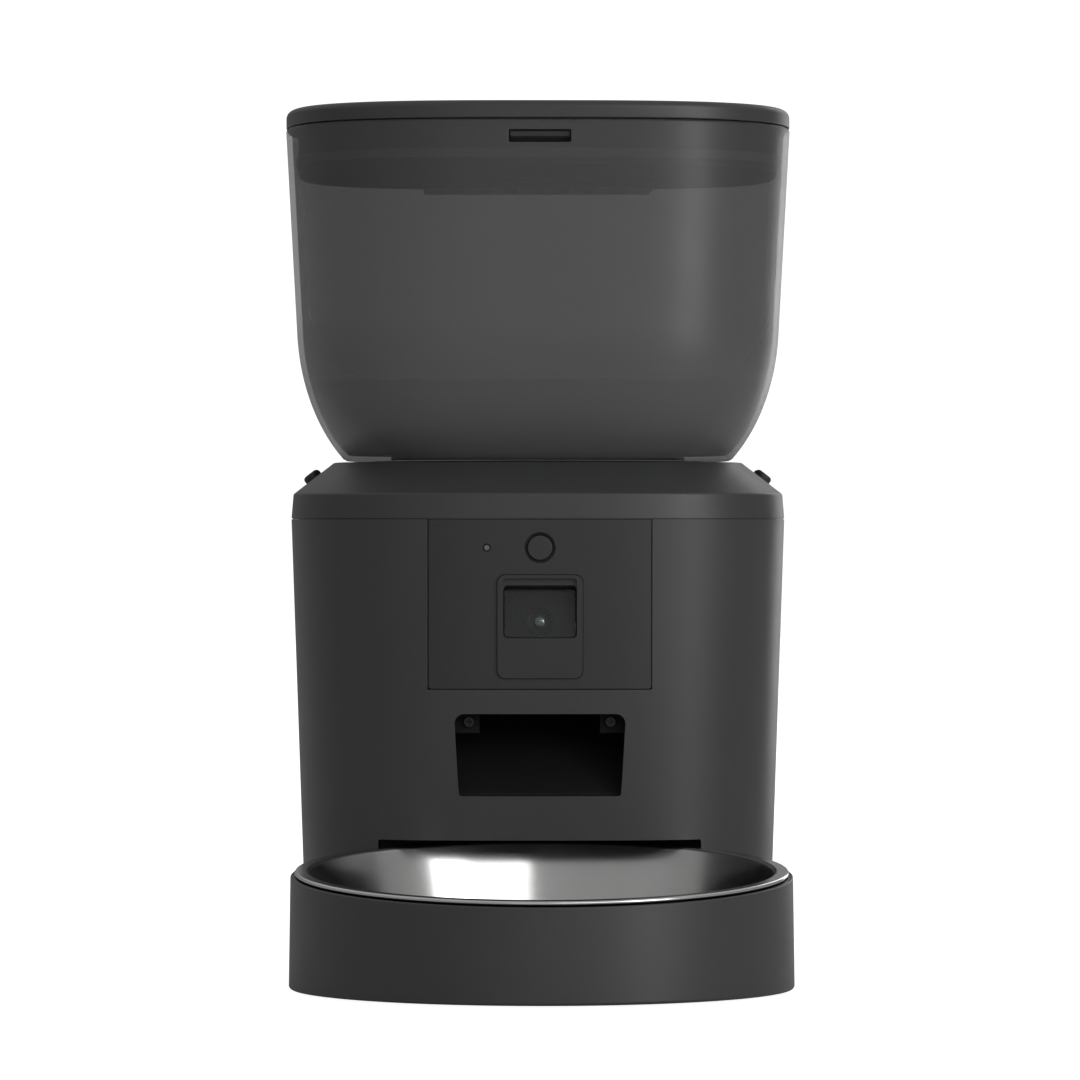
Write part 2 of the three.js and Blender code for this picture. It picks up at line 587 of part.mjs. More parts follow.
function tankFunnel() {
  const top = 222;
  const bottom = TANK.z0 + TANK_FLOOR.thick + GAP;
  const reach = tankHalf(top) - TANK.wall - 1.2;
  const throat = TANK_FLOOR.hole - 1;
  const slide = [[reach, top], [throat, bottom + 2]];
  const underside = [[throat, bottom], [throat + 2, bottom], [reach, top - 2]];
  return squared(closed([...slide, ...underside]));
}
add(body, 'tank_funnel', WHITE_PLASTIC, tankFunnel());

function rotorChamber() {
  const { r, wall, z0, floor, flangeR, z1 } = CHAMBER;
  const outside = [[0, z0], [r + wall, z0], [r + wall, z1 - floor], [flangeR, z1 - floor], [flangeR, z1]];
  const cup = solid(turned([...outside, [r, z1], [r, z0 + floor], [0, z0 + floor]]));
  const dropHole = box(-DROP.half, DROP.half, DROP.y0, DROP.y1, z0 - 1, z0 + floor + 1);
  return cut(cup, dropHole, rod(7, z0 - 1, z0 + floor + 1));
}
add(body, 'rotor_chamber', INNER_BLACK, rotorChamber());

function rotor() {
  const { r, hubR, vanes, vane, z0, z1 } = ROTOR;
  const dome = solid(turned([[0, z0], [hubR, z0], [hubR, z1], [hubR * 0.7, z1 + 5], [0, z1 + 7]], 32));
  const blades = Array.from({ length: vanes / 2 }, (_, i) => (
    box(-r + 0.2, r - 0.2, -vane / 2, vane / 2, z0, z1).rotate([0, 0, (i * 360) / vanes])
  ));
  return cut(join(dome, ...blades), hexRod(DOG.flats + 2 * DOG.play, z0 - 1, DOG.socket));
}
add(body, 'rotor', WHITE_PLASTIC, rotor());

// The sweep above the drop hole, so that only the pocket below it can empty.
function wiper() {
  const reach = CHAMBER.r - GAP;
  const sector = new THREE.Shape();
  const from = THREE.MathUtils.degToRad(-90 - 38);
  const to = THREE.MathUtils.degToRad(-90 + 38);
  sector.moveTo(13 * Math.cos(from), 13 * Math.sin(from));
  sector.absarc(0, 0, reach, from, to, false);
  sector.absarc(0, 0, 13, to, from, true);
  const geometry = new THREE.ExtrudeGeometry(sector, { depth: 2, bevelEnabled: false, curveSegments: 12 });
  return solid(geometry.translate(0, 0, ROTOR.z1 + 1));
}
add(body, 'wiper', SILICONE, wiper());

// ---------------------------------------------------------------- lid
function lidShell() {
  const { z0, z1, half, wall, edge } = LID;
  const round = edge * 0.3;
  const outside = [[half, z0], [half, z1 - edge], [half - round, z1 - round], [half - edge, z1], [0, z1]];
  const inside = [[0, z1 - wall], [half - wall, z1 - wall], [half - wall, z0]];
  const { y, z, pinR, knuckleR, lidHalf, tankEnd } = HINGE;
  const tankRoom = rodX(knuckleR + GAP, -tankEnd - GAP, tankEnd + GAP, y, z);
  const arm = box(-lidHalf, lidHalf, y - 4, y, z + GAP + 0.2, z + knuckleR);
  const knuckle = join(rodX(knuckleR, -lidHalf, lidHalf, y, z), arm);
  const shell = squared(closed([...outside, ...inside]));
  return cut(join(cut(shell, tankRoom), knuckle), rodX(pinR + GAP, -lidHalf - 1, lidHalf + 1, y, z));
}
add(body, 'lid_shell', MATT_BLACK, lidShell());
add(body, 'hinge_pin', STEEL, rodX(HINGE.pinR, -HINGE.tankEnd, HINGE.tankEnd, HINGE.y, HINGE.z));

const LINER = { top: LID.z1 - LID.wall - GAP, plate: 1.8 };
const DESICCANT = { half: 43.85, depth: 30, bottom: 296, wall: 1.6, cover: 1.8 };
function lidLiner() {
  const { half, wall, bottom } = SKIRT;
  const plateZ = LINER.top - LINER.plate;
  const outside = [[half, bottom], [half, LINER.top], [0, LINER.top]];
  const inside = [[0, plateZ], [half - wall, plateZ], [half - wall, bottom]];
  const latchRoom = box(-LATCH.half - 0.6, LATCH.half + 0.6, -100, -85, LATCH.z0 - 1, LATCH.z1 + 1);
  const bracket = box(-6, 6, -81.5, -80, LATCH.z0 - 1, plateZ + 0.5);
  return join(cut(squared(closed([...outside, ...inside])), latchRoom), bracket);
}
add(body, 'lid_liner', MATT_BLACK, lidLiner());

const SEAL = { inner: SKIRT.half + GAP, outer: SKIRT.half + 1, z0: 304, z1: 307.5 };
const sealRing = [[SEAL.inner, SEAL.z0], [SEAL.outer, SEAL.z0], [SEAL.outer, SEAL.z1], [SEAL.inner, SEAL.z1]];
add(body, 'lid_seal', SILICONE, squared(closed(sealRing)));

function desiccantBox() {
  const { half, depth, bottom, wall, cover } = DESICCANT;
  const z0 = bottom + cover + GAP;
  const z1 = LINER.top - LINER.plate - GAP;
  const room = box(-half + wall, half - wall, -depth + wall, depth - wall, z0 - 1, z1 - wall);
  return cut(box(-half, half, -depth, depth, z0, z1), room);
}
add(body, 'desiccant_box', MATT_BLACK, desiccantBox());

function desiccantCover() {
  const { half, depth, bottom, cover } = DESICCANT;
  const slots = [-30, -20, -10, 0, 10, 20, 30].map((x) => (
    box(x - 2, x + 2, -depth + 8, depth - 8, bottom - 1, bottom + cover + 1)
  ));
  return cut(box(-half, half, -depth, depth, bottom, bottom + cover), ...slots);
}
add(body, 'desiccant_cover', MATT_BLACK, desiccantCover());

const bagZ = DESICCANT.bottom + DESICCANT.cover + 1;
const bagShape = new THREE.SphereGeometry(1, 16, 8).scale(38, 25, 8.5).translate(0, 0, bagZ + 8.5);
add(body, 'desiccant_bag', SILICONE, solid(bagShape));

function lidLatch() {
  const { half, z0, z1, front: y, depth } = LATCH;
  return box(-half, half, -y, depth - y, z0, z1);
}
add(body, 'lid_latch', MATT_BLACK, lidLatch());

const latchZ = (LATCH.z0 + LATCH.z1) / 2;
const latchSpring = coil(1.5, 0.3, 4.2, 3).rotateX(-Math.PI / 2).translate(0, -86.3, latchZ);
add(body, 'latch_spring', STEEL, solid(latchSpring));

// ---------------------------------------------------------------- tray and bowl
// Everything above the tray's rim plane, which falls towards the front.
function aboveRim(height) {
  const slab = box(-150, 150, -150, 150, 0, 100);
  return slab.rotate([TRAY.tilt, 0, 0]).translate([0, 0, height]);
}

function bowlTray() {
  const { r0, r1, wall, floor, z0, top } = TRAY;
  const high = 52;
  const outside = [[0, z0], [r0 - 1, z0], [r0, z0 + 1], [r1, high]];
  const inside = [[r1 - wall, high], [r0 - wall, z0 + floor], [0, z0 + floor]];
  return cut(solid(turned([...outside, ...inside], DOCK.sides)), aboveRim(top));
}
add(front, 'bowl_tray', MATT_BLACK, bowlTray());

[0, 1, 2].forEach((i) => {
  const angle = (i / 3) * 2 * Math.PI + Math.PI / 6;
  const pad = rod(6, 0, TRAY.z0 - 0.1, 70 * Math.cos(angle), 70 * Math.sin(angle), 20);
  add(front, `tray_pad_${i + 1}`, RUBBER, pad);
});

function steelBowl() {
  const { rimR, mouthR, floorR, depth, sheet, bead } = BOWL;
  const low = -depth;
  const corner = [[mouthR - 12, low + 4], [mouthR - 6, low + 11]];
  const outer = [[0, low], [floorR, low], ...corner, [mouthR, 0], [rimR, 0]];
  const lining = corner.toReversed().map(([r, z]) => [r - sheet, z + sheet / 2]);
  const inner = [[rimR, bead], [mouthR - sheet, bead], ...lining, [floorR, low + sheet], [0, low + sheet]];
  const bowl = solid(turned([...outer, ...inner]));
  return bowl.rotate([TRAY.tilt, 0, 0]).translate([0, 0, TRAY.top + GAP]);
}
add(front, 'steel_bowl', STEEL, steelBowl());

export default feeder;
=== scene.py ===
"""Automatic pet feeder: the finished look of every piece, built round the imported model."""
import math

import bmesh
import bpy
import mathutils
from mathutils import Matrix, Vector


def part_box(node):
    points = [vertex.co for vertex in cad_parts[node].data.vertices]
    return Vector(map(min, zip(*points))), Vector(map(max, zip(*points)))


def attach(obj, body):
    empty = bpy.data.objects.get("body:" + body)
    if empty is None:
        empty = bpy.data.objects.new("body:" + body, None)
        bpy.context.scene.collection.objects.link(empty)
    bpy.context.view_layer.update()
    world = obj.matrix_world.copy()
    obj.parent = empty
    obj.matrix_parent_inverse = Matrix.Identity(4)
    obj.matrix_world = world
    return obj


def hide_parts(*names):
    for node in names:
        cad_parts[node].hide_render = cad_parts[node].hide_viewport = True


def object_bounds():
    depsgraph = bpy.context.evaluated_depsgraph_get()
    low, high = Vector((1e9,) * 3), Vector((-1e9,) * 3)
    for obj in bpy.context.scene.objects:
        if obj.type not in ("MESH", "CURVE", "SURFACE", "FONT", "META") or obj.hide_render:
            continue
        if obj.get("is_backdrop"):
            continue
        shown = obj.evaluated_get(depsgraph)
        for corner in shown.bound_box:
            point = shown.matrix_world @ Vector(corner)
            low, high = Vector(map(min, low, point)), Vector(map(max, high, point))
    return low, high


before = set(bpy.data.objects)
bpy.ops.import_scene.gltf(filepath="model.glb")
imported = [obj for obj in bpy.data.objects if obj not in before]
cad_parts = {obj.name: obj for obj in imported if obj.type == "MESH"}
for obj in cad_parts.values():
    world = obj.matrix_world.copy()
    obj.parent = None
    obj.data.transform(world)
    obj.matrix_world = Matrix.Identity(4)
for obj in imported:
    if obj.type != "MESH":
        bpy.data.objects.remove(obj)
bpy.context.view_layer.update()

# ---------------------------------------------------------------- camera, floor and light
# A long lens at the height of the feeder's middle, a hair to its left, over a plain pale floor.
# A tall soft box stands front right, a strip behind it draws the right edge, and a third high
# in front lights the bowl. The sky dims towards the horizon, and is white where the camera sees it.
skirt_low, skirt_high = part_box("lid_liner")
tray_low, tray_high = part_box("bowl_tray")
BODY_Y = (skirt_low.y + skirt_high.y) / 2
BOWL_Y = (tray_low.y + tray_high.y) / 2

camera = bpy.data.objects.new("camera", bpy.data.cameras.new("camera"))
bpy.context.scene.collection.objects.link(camera)
camera.data.lens = 220
camera.data.clip_end = 100
camera.location = (-0.026, BOWL_Y - 2.383, 0.170)
camera.rotation_euler = (math.radians(90 - 0.18), 0, math.radians(-0.61))
bpy.context.scene.camera = camera
bpy.context.scene.view_settings.view_transform = "Standard"


def softbox(name, place, aim, size, power):
    """A rectangular area light at a place, turned to face a point."""
    light = bpy.data.lights.new(name, "AREA")
    light.shape = "RECTANGLE"
    light.size, light.size_y = size
    light.energy = power
    lamp = bpy.data.objects.new(name, light)
    bpy.context.scene.collection.objects.link(lamp)
    lamp.location = place
    direction = [a - p for a, p in zip(aim, place)]
    lamp.rotation_euler = mathutils.Vector(direction).to_track_quat("-Z", "Y").to_euler()


MIDDLE = (0, BODY_Y, 0.17)
softbox("key_right", (1.2, -1.08, 0.40), MIDDLE, (0.55, 1.3), 8)
softbox("edge_right", (0.68, 1.40, 0.30), MIDDLE, (0.3, 1.4), 3)
softbox("front_fill", (-0.3, -3.4, 0.30), MIDDLE, (1.2, 1.0), 2.4)
softbox("bowl_light", (1.05, -1.81, 0.89), (0, BOWL_Y, 0.04), (1.9, 0.7), 9)

world = bpy.data.worlds.new("studio")
bpy.context.scene.world = world
world.use_nodes = True
sky = world.node_tree.nodes["Background"]
sky.inputs["Color"].default_value = (1, 1, 1, 1)


def world_node(kind, values, *links):
    """A node of the sky with some of its inputs set and others fed by sockets."""
    made = world.node_tree.nodes.new(kind)
    for key, value in values.items():
        made.inputs[key].default_value = value
    for key, socket in links:
        world.node_tree.links.new(socket, made.inputs[key])
    return made


HORIZON, ZENITH, BACKDROP = 0.20, 0.50, 1.1
towards = world_node("ShaderNodeTexCoord", {})
apart = world_node("ShaderNodeSeparateXYZ", {}, ("Vector", towards.outputs["Generated"]))
rise = {"From Min": 0.15, "From Max": 0.5, "To Min": HORIZON, "To Max": ZENITH}
dome = world_node("ShaderNodeMapRange", rise, ("Value", apart.outputs["Z"]))
seen = world_node("ShaderNodeLightPath", {})
strength = world_node("ShaderNodeMapRange", {"To Max": BACKDROP}, ("Value", seen.outputs["Is Camera Ray"]),
                      ("To Min", dome.outputs["Result"]))
world.node_tree.links.new(strength.outputs["Result"], sky.inputs["Strength"])

bpy.ops.mesh.primitive_plane_add(size=14, location=(0, 0, 0))
floor = bpy.context.object
floor.name = "floor"
floor_paint = bpy.data.materials.new("floor")
floor_paint.use_nodes = True
paint = floor_paint.node_tree.nodes["Principled BSDF"]
paint.inputs["Base Color"].default_value = (0.6, 0.6, 0.6, 1)
paint.inputs["Roughness"].default_value = 0.9
paint.inputs["Emission Color"].default_value = (1, 1, 1, 1)
glow = floor_paint.node_tree.nodes.new("ShaderNodeLightPath")
shown = floor_paint.node_tree.nodes.new("ShaderNodeMapRange")
shown.inputs["To Min"].default_value = 0.05
shown.inputs["To Max"].default_value = 0.95
floor_paint.node_tree.links.new(glow.outputs["Is Camera Ray"], shown.inputs["Value"])
floor_paint.node_tree.links.new(shown.outputs["Result"], paint.inputs["Emission Strength"])
floor.data.materials.append(floor_paint)
floor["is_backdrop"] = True

# ---------------------------------------------------------------- base housing
# The deep moulded shell of the base in charcoal plastic with a fine spark-eroded texture. It
# tapers a little towards the floor and is open at the top, where the cover closes it.
HOUSING_TOP = 0.170
HOUSING_FOOT = 0.002
TOP_HALF = 0.0941
FOOT_HALF = 0.0884
HOUSING_WALL = 0.0025
SQUARENESS = 3.1
SIDES = 160


def deselect():
    bpy.ops.object.select_all(action="DESELECT")


def pick(obj):
    """Makes a piece the only one selected, and the active one."""
    deselect()
    obj.select_set(True)
    bpy.context.view_layer.objects.active = obj


def settle(obj):
    """Writes a piece's place and turn into its mesh."""
    pick(obj)
    bpy.ops.object.transform_apply(location=True, rotation=True)
    return obj


def edit_where(obj, kind, wanted):
    """Opens a piece for editing with just the wanted edges, or faces, selected."""
    bpy.ops.object.mode_set(mode="EDIT")
    bpy.ops.mesh.select_mode(type=kind)
    mesh = bmesh.from_edit_mesh(obj.data)
    for part in mesh.edges if kind == "EDGE" else mesh.faces:
        part.select = wanted(part)
    bmesh.update_edit_mesh(obj.data)


class Wire:
    """One shader socket, so that sums on surfaces read as plain expressions."""

    def __init__(self, recipe, socket):
        self.recipe = recipe
        self.socket = socket

    def sum(self, operation, first, second):
        return self.recipe.node("ShaderNodeMath", {"operation": operation}, {0: first, 1: second})

    def __add__(self, other):
        return self.sum("ADD", self, other)

    def __sub__(self, other):
        return self.sum("SUBTRACT", self, other)

    def __rsub__(self, other):
        return self.sum("SUBTRACT", other, self)

    def __mul__(self, other):
        return self.sum("MULTIPLY", self, other)

    __radd__ = __add__
    __rmul__ = __mul__


class Recipe:
    """A material being mixed: its nodes, its object coordinates and its one shader."""

    def __init__(self, name):
        self.material = bpy.data.materials.new(name)
        self.material.use_nodes = True
        self.tree = self.material.node_tree
        self.shader = self.tree.nodes["Principled BSDF"]
        self.place = self.node("ShaderNodeTexCoord", {}, {}, "Object")

    def node(self, kind, settings, inputs, output=0):
        made = self.tree.nodes.new(kind)
        for key, value in settings.items():
            setattr(made, key, value)
        for key, value in inputs.items():
            self.feed(made.inputs[key], value)
        return Wire(self, made.outputs[output])

    def feed(self, socket, value):
        if isinstance(value, Wire):
            self.tree.links.new(value.socket, socket)
        else:
            socket.default_value = value

    def noise(self, scale, detail=2, stretch=(1, 1, 1)):
        """A noise from 0 to 1, with so many lumps to the metre, drawn out along an axis."""
        where = self.node("ShaderNodeMapping", {}, {"Vector": self.place, "Scale": stretch})
        return self.node("ShaderNodeTexNoise", {}, {"Vector": where, "Scale": scale, "Detail": detail})

    def ramp(self, value, low, high, to_low=0, to_high=1):
        ends = {"Value": value, "From Min": low, "From Max": high, "To Min": to_low, "To Max": to_high}
        return self.node("ShaderNodeMapRange", {}, ends)

    def blend(self, mask, first, second):
        """The first colour where the mask is 0, the second where it is 1."""
        ends = [colour if isinstance(colour, Wire) else (*colour, 1) for colour in (first, second)]
        sockets = {0: mask, 6: ends[0], 7: ends[1]}
        return self.node("ShaderNodeMix", {"data_type": "RGBA"}, sockets, 2)

    def along(self, axis, where=None):
        """The distance along X, Y or Z (0, 1 or 2) of the surface, or of another place."""
        return self.node("ShaderNodeSeparateXYZ", {}, {0: where or self.place}, axis)

    def bump(self, height, depth):
        return self.node("ShaderNodeBump", {}, {"Height": height, "Distance": depth, "Strength": 1.0})

    def finish(self, **inputs):
        for key, value in inputs.items():
            self.feed(self.shader.inputs[key.replace("_", " ")], value)
        return self.material


def moulded_plastic(name, colour, lighter, roughness, grain=2600, depth=0.00003):
    """Injection-moulded plastic: even colour with a faint cloudiness and a fine tool texture."""
    mix = Recipe(name)
    cloud = mix.noise(18, 3)
    texture = mix.noise(grain, 1)
    rubbed = mix.ramp(mix.noise(60, 4), 0.35, 0.7, roughness - 0.01, roughness + 0.015)
    return mix.finish(
        Base_Color=mix.blend(mix.ramp(cloud, 0.3, 0.7), colour, lighter),
        Roughness=rubbed,
        Normal=mix.bump(texture, depth),
    )


charcoal = moulded_plastic("charcoal_plastic", (0.031, 0.0315, 0.032), (0.035, 0.0355, 0.036), 0.42)


def arc(centre, radius, start, end, steps=5):
    """Points on an arc of a side profile, as half-width and height; angles in degrees from +X."""
    turns = [math.radians(start + (end - start) * i / steps) for i in range(steps + 1)]
    return [(centre[0] + radius * math.cos(t), centre[1] + radius * math.sin(t)) for t in turns]


def square_up(obj, centre_y):
    """Moves a ring's points out to the rounded-square outline that the tank and base share."""
    for vertex in obj.data.vertices:
        x, y = vertex.co.x, vertex.co.y - centre_y
        turn = math.atan2(y, x)
        total = abs(math.cos(turn)) ** SQUARENESS + abs(math.sin(turn)) ** SQUARENESS
        stretch = total ** (-1 / SQUARENESS)
        vertex.co.x, vertex.co.y = x * stretch, y * stretch + centre_y


def ringed(name, rings, centre_y=BODY_Y, square=True, sides=SIDES, ends="loop"):
    """A shell drawn up from one ring: each next ring is extruded and resized. The ends are
    joined into a closed wall ("loop"), or each is filled with a face ("caps")."""
    deselect()
    radius, height = rings[0]
    bpy.ops.mesh.primitive_circle_add(vertices=sides, radius=radius, location=(0, centre_y, height))
    obj = bpy.context.object
    obj.name = name
    bpy.ops.object.transform_apply(location=True)
    if square:
        square_up(obj, centre_y)
    bpy.ops.object.mode_set(mode="EDIT")
    bpy.ops.mesh.select_mode(type="EDGE")
    bpy.ops.mesh.select_all(action="SELECT")
    if ends == "caps":
        bpy.ops.mesh.edge_face_add()
        bpy.ops.mesh.select_all(action="SELECT")
    for (r0, z0), (r1, z1) in zip(rings, rings[1:]):
        bpy.ops.mesh.extrude_region_move(TRANSFORM_OT_translate={"value": (0, 0, z1 - z0)})
        bpy.ops.transform.resize(value=(r1 / r0, r1 / r0, 1), center_override=(0, centre_y, 0))
    if ends == "loop":
        close_wall(obj)
    bpy.ops.mesh.select_all(action="SELECT")
    bpy.ops.mesh.normals_make_consistent(inside=False)
    bpy.ops.object.mode_set(mode="OBJECT")
    return obj


def close_wall(obj):
    """Bridges the first and last rings of a wall, the only open edges it has."""
    mesh = bmesh.from_edit_mesh(obj.data)
    for edge in mesh.edges:
        edge.select = edge.is_boundary
    mesh.select_flush_mode()
    bmesh.update_edit_mesh(obj.data)
    bpy.ops.mesh.bridge_edge_loops()


def block(name, low, high, corner=0.0, along="Z", steps=6):
    """A box between two corners, with its four edges along one axis rounded off."""
    deselect()
    middle = [(a + b) / 2 for a, b in zip(low, high)]
    bpy.ops.mesh.primitive_cube_add(size=1, location=middle)
    obj = bpy.context.object
    obj.name = name
    obj.scale = [b - a for a, b in zip(low, high)]
    bpy.ops.object.transform_apply(location=True, scale=True)
    if corner:
        axis = "XYZ".index(along)
        edit_where(obj, "EDGE", lambda e: abs((e.verts[1].co - e.verts[0].co).normalized()[axis]) > 0.99)
        bpy.ops.mesh.bevel(offset=corner, segments=steps, affect="EDGES")
        bpy.ops.object.mode_set(mode="OBJECT")
    return obj


def pin(name, radius, ends, along="Z", sides=48):
    """A cylinder between two points that differ along one axis."""
    deselect()
    low, high = ends
    middle = [(a + b) / 2 for a, b in zip(low, high)]
    length = max(abs(b - a) for a, b in zip(low, high))
    turn = {"Z": (0, 0, 0), "Y": (math.pi / 2, 0, 0), "X": (0, math.pi / 2, 0)}[along]
    bpy.ops.mesh.primitive_cylinder_add(
        vertices=sides, radius=radius, depth=length, location=middle, rotation=turn)
    obj = bpy.context.object
    obj.name = name
    bpy.ops.object.transform_apply(location=True, rotation=True)
    return obj


def boolean(obj, tool, operation):
    """Joins a tool to a piece, cuts it away or keeps what both share, and uses it up."""
    pick(obj)
    modifier = obj.modifiers.new("shape", "BOOLEAN")
    modifier.operation = operation
    modifier.solver = "EXACT"
    modifier.object = tool
    bpy.ops.object.modifier_apply(modifier=modifier.name)
    bpy.data.objects.remove(tool)
    return obj


def carve(obj, *tools):
    for tool in tools:
        boolean(obj, tool, "DIFFERENCE")
    return obj


def weld(obj, *others):
    for other in others:
        boolean(obj, other, "UNION")
    return obj


MERGE_WITHIN = 0.00001
FLAT_WITHIN = 0.05


def dress(obj, material, body, node=None, soften=0.0004, steps=3, angle=35):
    """Breaks the sharp edges, smooths the faces, gives the finish, hangs it on its body and hides the CAD
    piece it stands for.
    """
    pick(obj)
    bpy.ops.object.mode_set(mode="EDIT")
    bpy.ops.mesh.select_all(action="SELECT")
    bpy.ops.mesh.remove_doubles(threshold=MERGE_WITHIN)
    bpy.ops.mesh.dissolve_limited(angle_limit=math.radians(FLAT_WITHIN))
    bpy.ops.object.mode_set(mode="OBJECT")
    if soften:
        bevel = obj.modifiers.new("edges", "BEVEL")
        bevel.width = soften
        bevel.segments = steps
        bevel.limit_method = "ANGLE"
        bevel.angle_limit = math.radians(angle)
        bevel.use_clamp_overlap = True
        bpy.ops.object.modifier_apply(modifier=bevel.name)
    bpy.ops.object.shade_smooth_by_angle(angle=math.radians(angle))
    weighted = obj.modifiers.new("even_shading", "WEIGHTED_NORMAL")
    weighted.keep_sharp = True
    bpy.ops.object.modifier_apply(modifier=weighted.name)
    obj.data.materials.clear()
    obj.data.materials.append(material)
    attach(obj, body)
    if node:
        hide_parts(node)
    return obj


FOOT_EDGE = 0.0012
housing_wall = [(TOP_HALF, HOUSING_TOP), (TOP_HALF - HOUSING_WALL, HOUSING_TOP),
                (FOOT_HALF - HOUSING_WALL, HOUSING_FOOT), (FOOT_HALF - FOOT_EDGE, HOUSING_FOOT)]
housing_foot = arc((FOOT_HALF - FOOT_EDGE, HOUSING_FOOT + FOOT_EDGE), FOOT_EDGE, -90, 0)
housing = ringed("base_housing", housing_wall + housing_foot[1:])
FAR = 0.2
front_low, front_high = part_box("front_panel")
PANEL_GAP = 0.0003
OUTLET = {"half": 0.03185, "low": 0.0674, "high": 0.0979, "corner": 0.0038, "taper": 0.945}
panel_cut = block("panel_cut", (front_low.x - PANEL_GAP, -FAR, front_low.z - PANEL_GAP),
                  (front_high.x + PANEL_GAP, BODY_Y, 0.3))
outlet_cut = block("outlet_cut", (-OUTLET["half"], -FAR, OUTLET["low"]),
                   (OUTLET["half"], BODY_Y, OUTLET["high"]), OUTLET["corner"], "Y")
for vertex in outlet_cut.data.vertices:
    height = (vertex.co.z - OUTLET["low"]) / (OUTLET["high"] - OUTLET["low"])
    vertex.co.x *= OUTLET["taper"] + (1 - OUTLET["taper"]) * height
outlet_foot = OUTLET["half"] * OUTLET["taper"]
weld(outlet_cut, block("outlet_foot", (-outlet_foot, -FAR, OUTLET["low"]),
                       (outlet_foot, BODY_Y, OUTLET["low"] + 0.005), 0.0012, "Y"))
TRAY_SLOT = {"half": 0.060, "top": 0.051, "corner": 0.0008}
tray_cut = block("tray_cut", (-TRAY_SLOT["half"], -FAR, -0.01), (TRAY_SLOT["half"], BODY_Y, TRAY_SLOT["top"]),
                 TRAY_SLOT["corner"], "Y", 3)
carve(housing, panel_cut, outlet_cut, tray_cut)

socket_low, socket_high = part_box("power_socket")
speaker_low, speaker_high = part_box("speaker")
socket_x, socket_z = (socket_low.x + socket_high.x) / 2, (socket_low.z + socket_high.z) / 2
speaker_z = (speaker_low.z + speaker_high.z) / 2
SOCKET_HOLE = 0.0045
SPEAKER_SLOT = {"half": 0.010, "half_height": 0.001, "corner": 0.00095, "pitch": 0.005}
carve(housing, pin("socket_cut", SOCKET_HOLE, ((socket_x, BODY_Y, socket_z), (socket_x, FAR, socket_z)), "Y"))
for row in range(-2, 3):
    slot_z = speaker_z + row * SPEAKER_SLOT["pitch"]
    slot_low = (-SPEAKER_SLOT["half"], BODY_Y, slot_z - SPEAKER_SLOT["half_height"])
    slot_high = (SPEAKER_SLOT["half"], FAR, slot_z + SPEAKER_SLOT["half_height"])
    carve(housing, block("speaker_slot", slot_low, slot_high, SPEAKER_SLOT["corner"], "Y", 4))
dress(housing, charcoal, "base", "housing_shell", soften=0.0003)

# ---------------------------------------------------------------- top cover
# The shoulder of the base: a low band, a wide slope and a flat lip that the tank stands on, with
# a round well in the middle for the rotor chamber. A tongue under the band hides the joint.
COVER_FOOT = 0.17002
GROOVE = 0.0004
BAND_TOP = 0.1795
BAND_HALF = 0.0934
LIP_HALF = 0.0779
LIP_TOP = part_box("top_cover")[1].z
SLOPE = math.atan2(LIP_TOP - BAND_TOP, BAND_HALF - LIP_HALF)
EDGE = 0.0014
WELL_RADIUS = 0.0675
WELL_FLOOR = 0.1385
WELL_WALL = 0.002
SHAFT_HOLE = 0.007

slope_turn = 90 - math.degrees(SLOPE)
lower_reach = EDGE * math.tan(math.radians(slope_turn / 2))
upper_reach = EDGE * math.tan(SLOPE / 2)
tongue = [(TOP_HALF - 0.0045, COVER_FOOT - 0.0025), (TOP_HALF - 0.0029, COVER_FOOT - 0.0025),
          (TOP_HALF - 0.0029, COVER_FOOT), (TOP_HALF - GROOVE, COVER_FOOT),
          (TOP_HALF - GROOVE, COVER_FOOT + GROOVE), (TOP_HALF, COVER_FOOT + GROOVE)]
band_edge = arc((BAND_HALF - EDGE, BAND_TOP - lower_reach), EDGE, 0, slope_turn)
lip_edge = arc((LIP_HALF - upper_reach, LIP_TOP - EDGE), EDGE, slope_turn, 90)
underside = [(0.060, LIP_TOP), (0.060, LIP_TOP - 0.0022), (LIP_HALF - 0.002, LIP_TOP - 0.0022),
             (BAND_HALF - 0.0024, BAND_TOP - 0.001), (TOP_HALF - 0.0045, BAND_TOP - 0.006)]
cover = ringed("shoulder_cover", tongue + band_edge + lip_edge + underside)
well_ends = ((0, BODY_Y, WELL_FLOOR - WELL_WALL), (0, BODY_Y, LIP_TOP - 0.001))
weld(cover, pin("well_wall", WELL_RADIUS + WELL_WALL, well_ends, sides=128))
drop_low, drop_high = (-0.022, BODY_Y - 0.050, 0.1), (0.022, BODY_Y - 0.024, 0.15)
carve(
    cover,
    pin("well_hollow", WELL_RADIUS, ((0, BODY_Y, WELL_FLOOR), (0, BODY_Y, 0.3)), sides=128),
    block("drop_cut", drop_low, drop_high, 0.003),
    pin("shaft_cut", SHAFT_HOLE, ((0, BODY_Y, 0.1), (0, BODY_Y, 0.15))),
)
RELEASE_SIZE = (0.0068, 0.024)


def on_slope(obj, side):
    """Stands a piece made at the origin, pointing up, square on the cover's left or right slope."""
    obj.rotation_euler = (0, side * SLOPE, 0)
    obj.location = (side * (BAND_HALF + LIP_HALF) / 2, BODY_Y, (BAND_TOP + LIP_TOP) / 2)
    return settle(obj)


def pill(name, margin, low, high, steps=10):
    """A bar with round ends, as the release buttons and their slots are."""
    half_width, half_length = RELEASE_SIZE[0] / 2 + margin, RELEASE_SIZE[1] / 2 + margin
    corners = ((-half_width, -half_length, low), (half_width, half_length, high))
    return block(name, *corners, half_width - 0.0001, "Z", steps)


for side in (-1, 1):
    carve(cover, on_slope(pill("release_slot", 0.0003, -0.009, 0.004), side))
dress(cover, charcoal, "base", "top_cover", soften=0.0003)

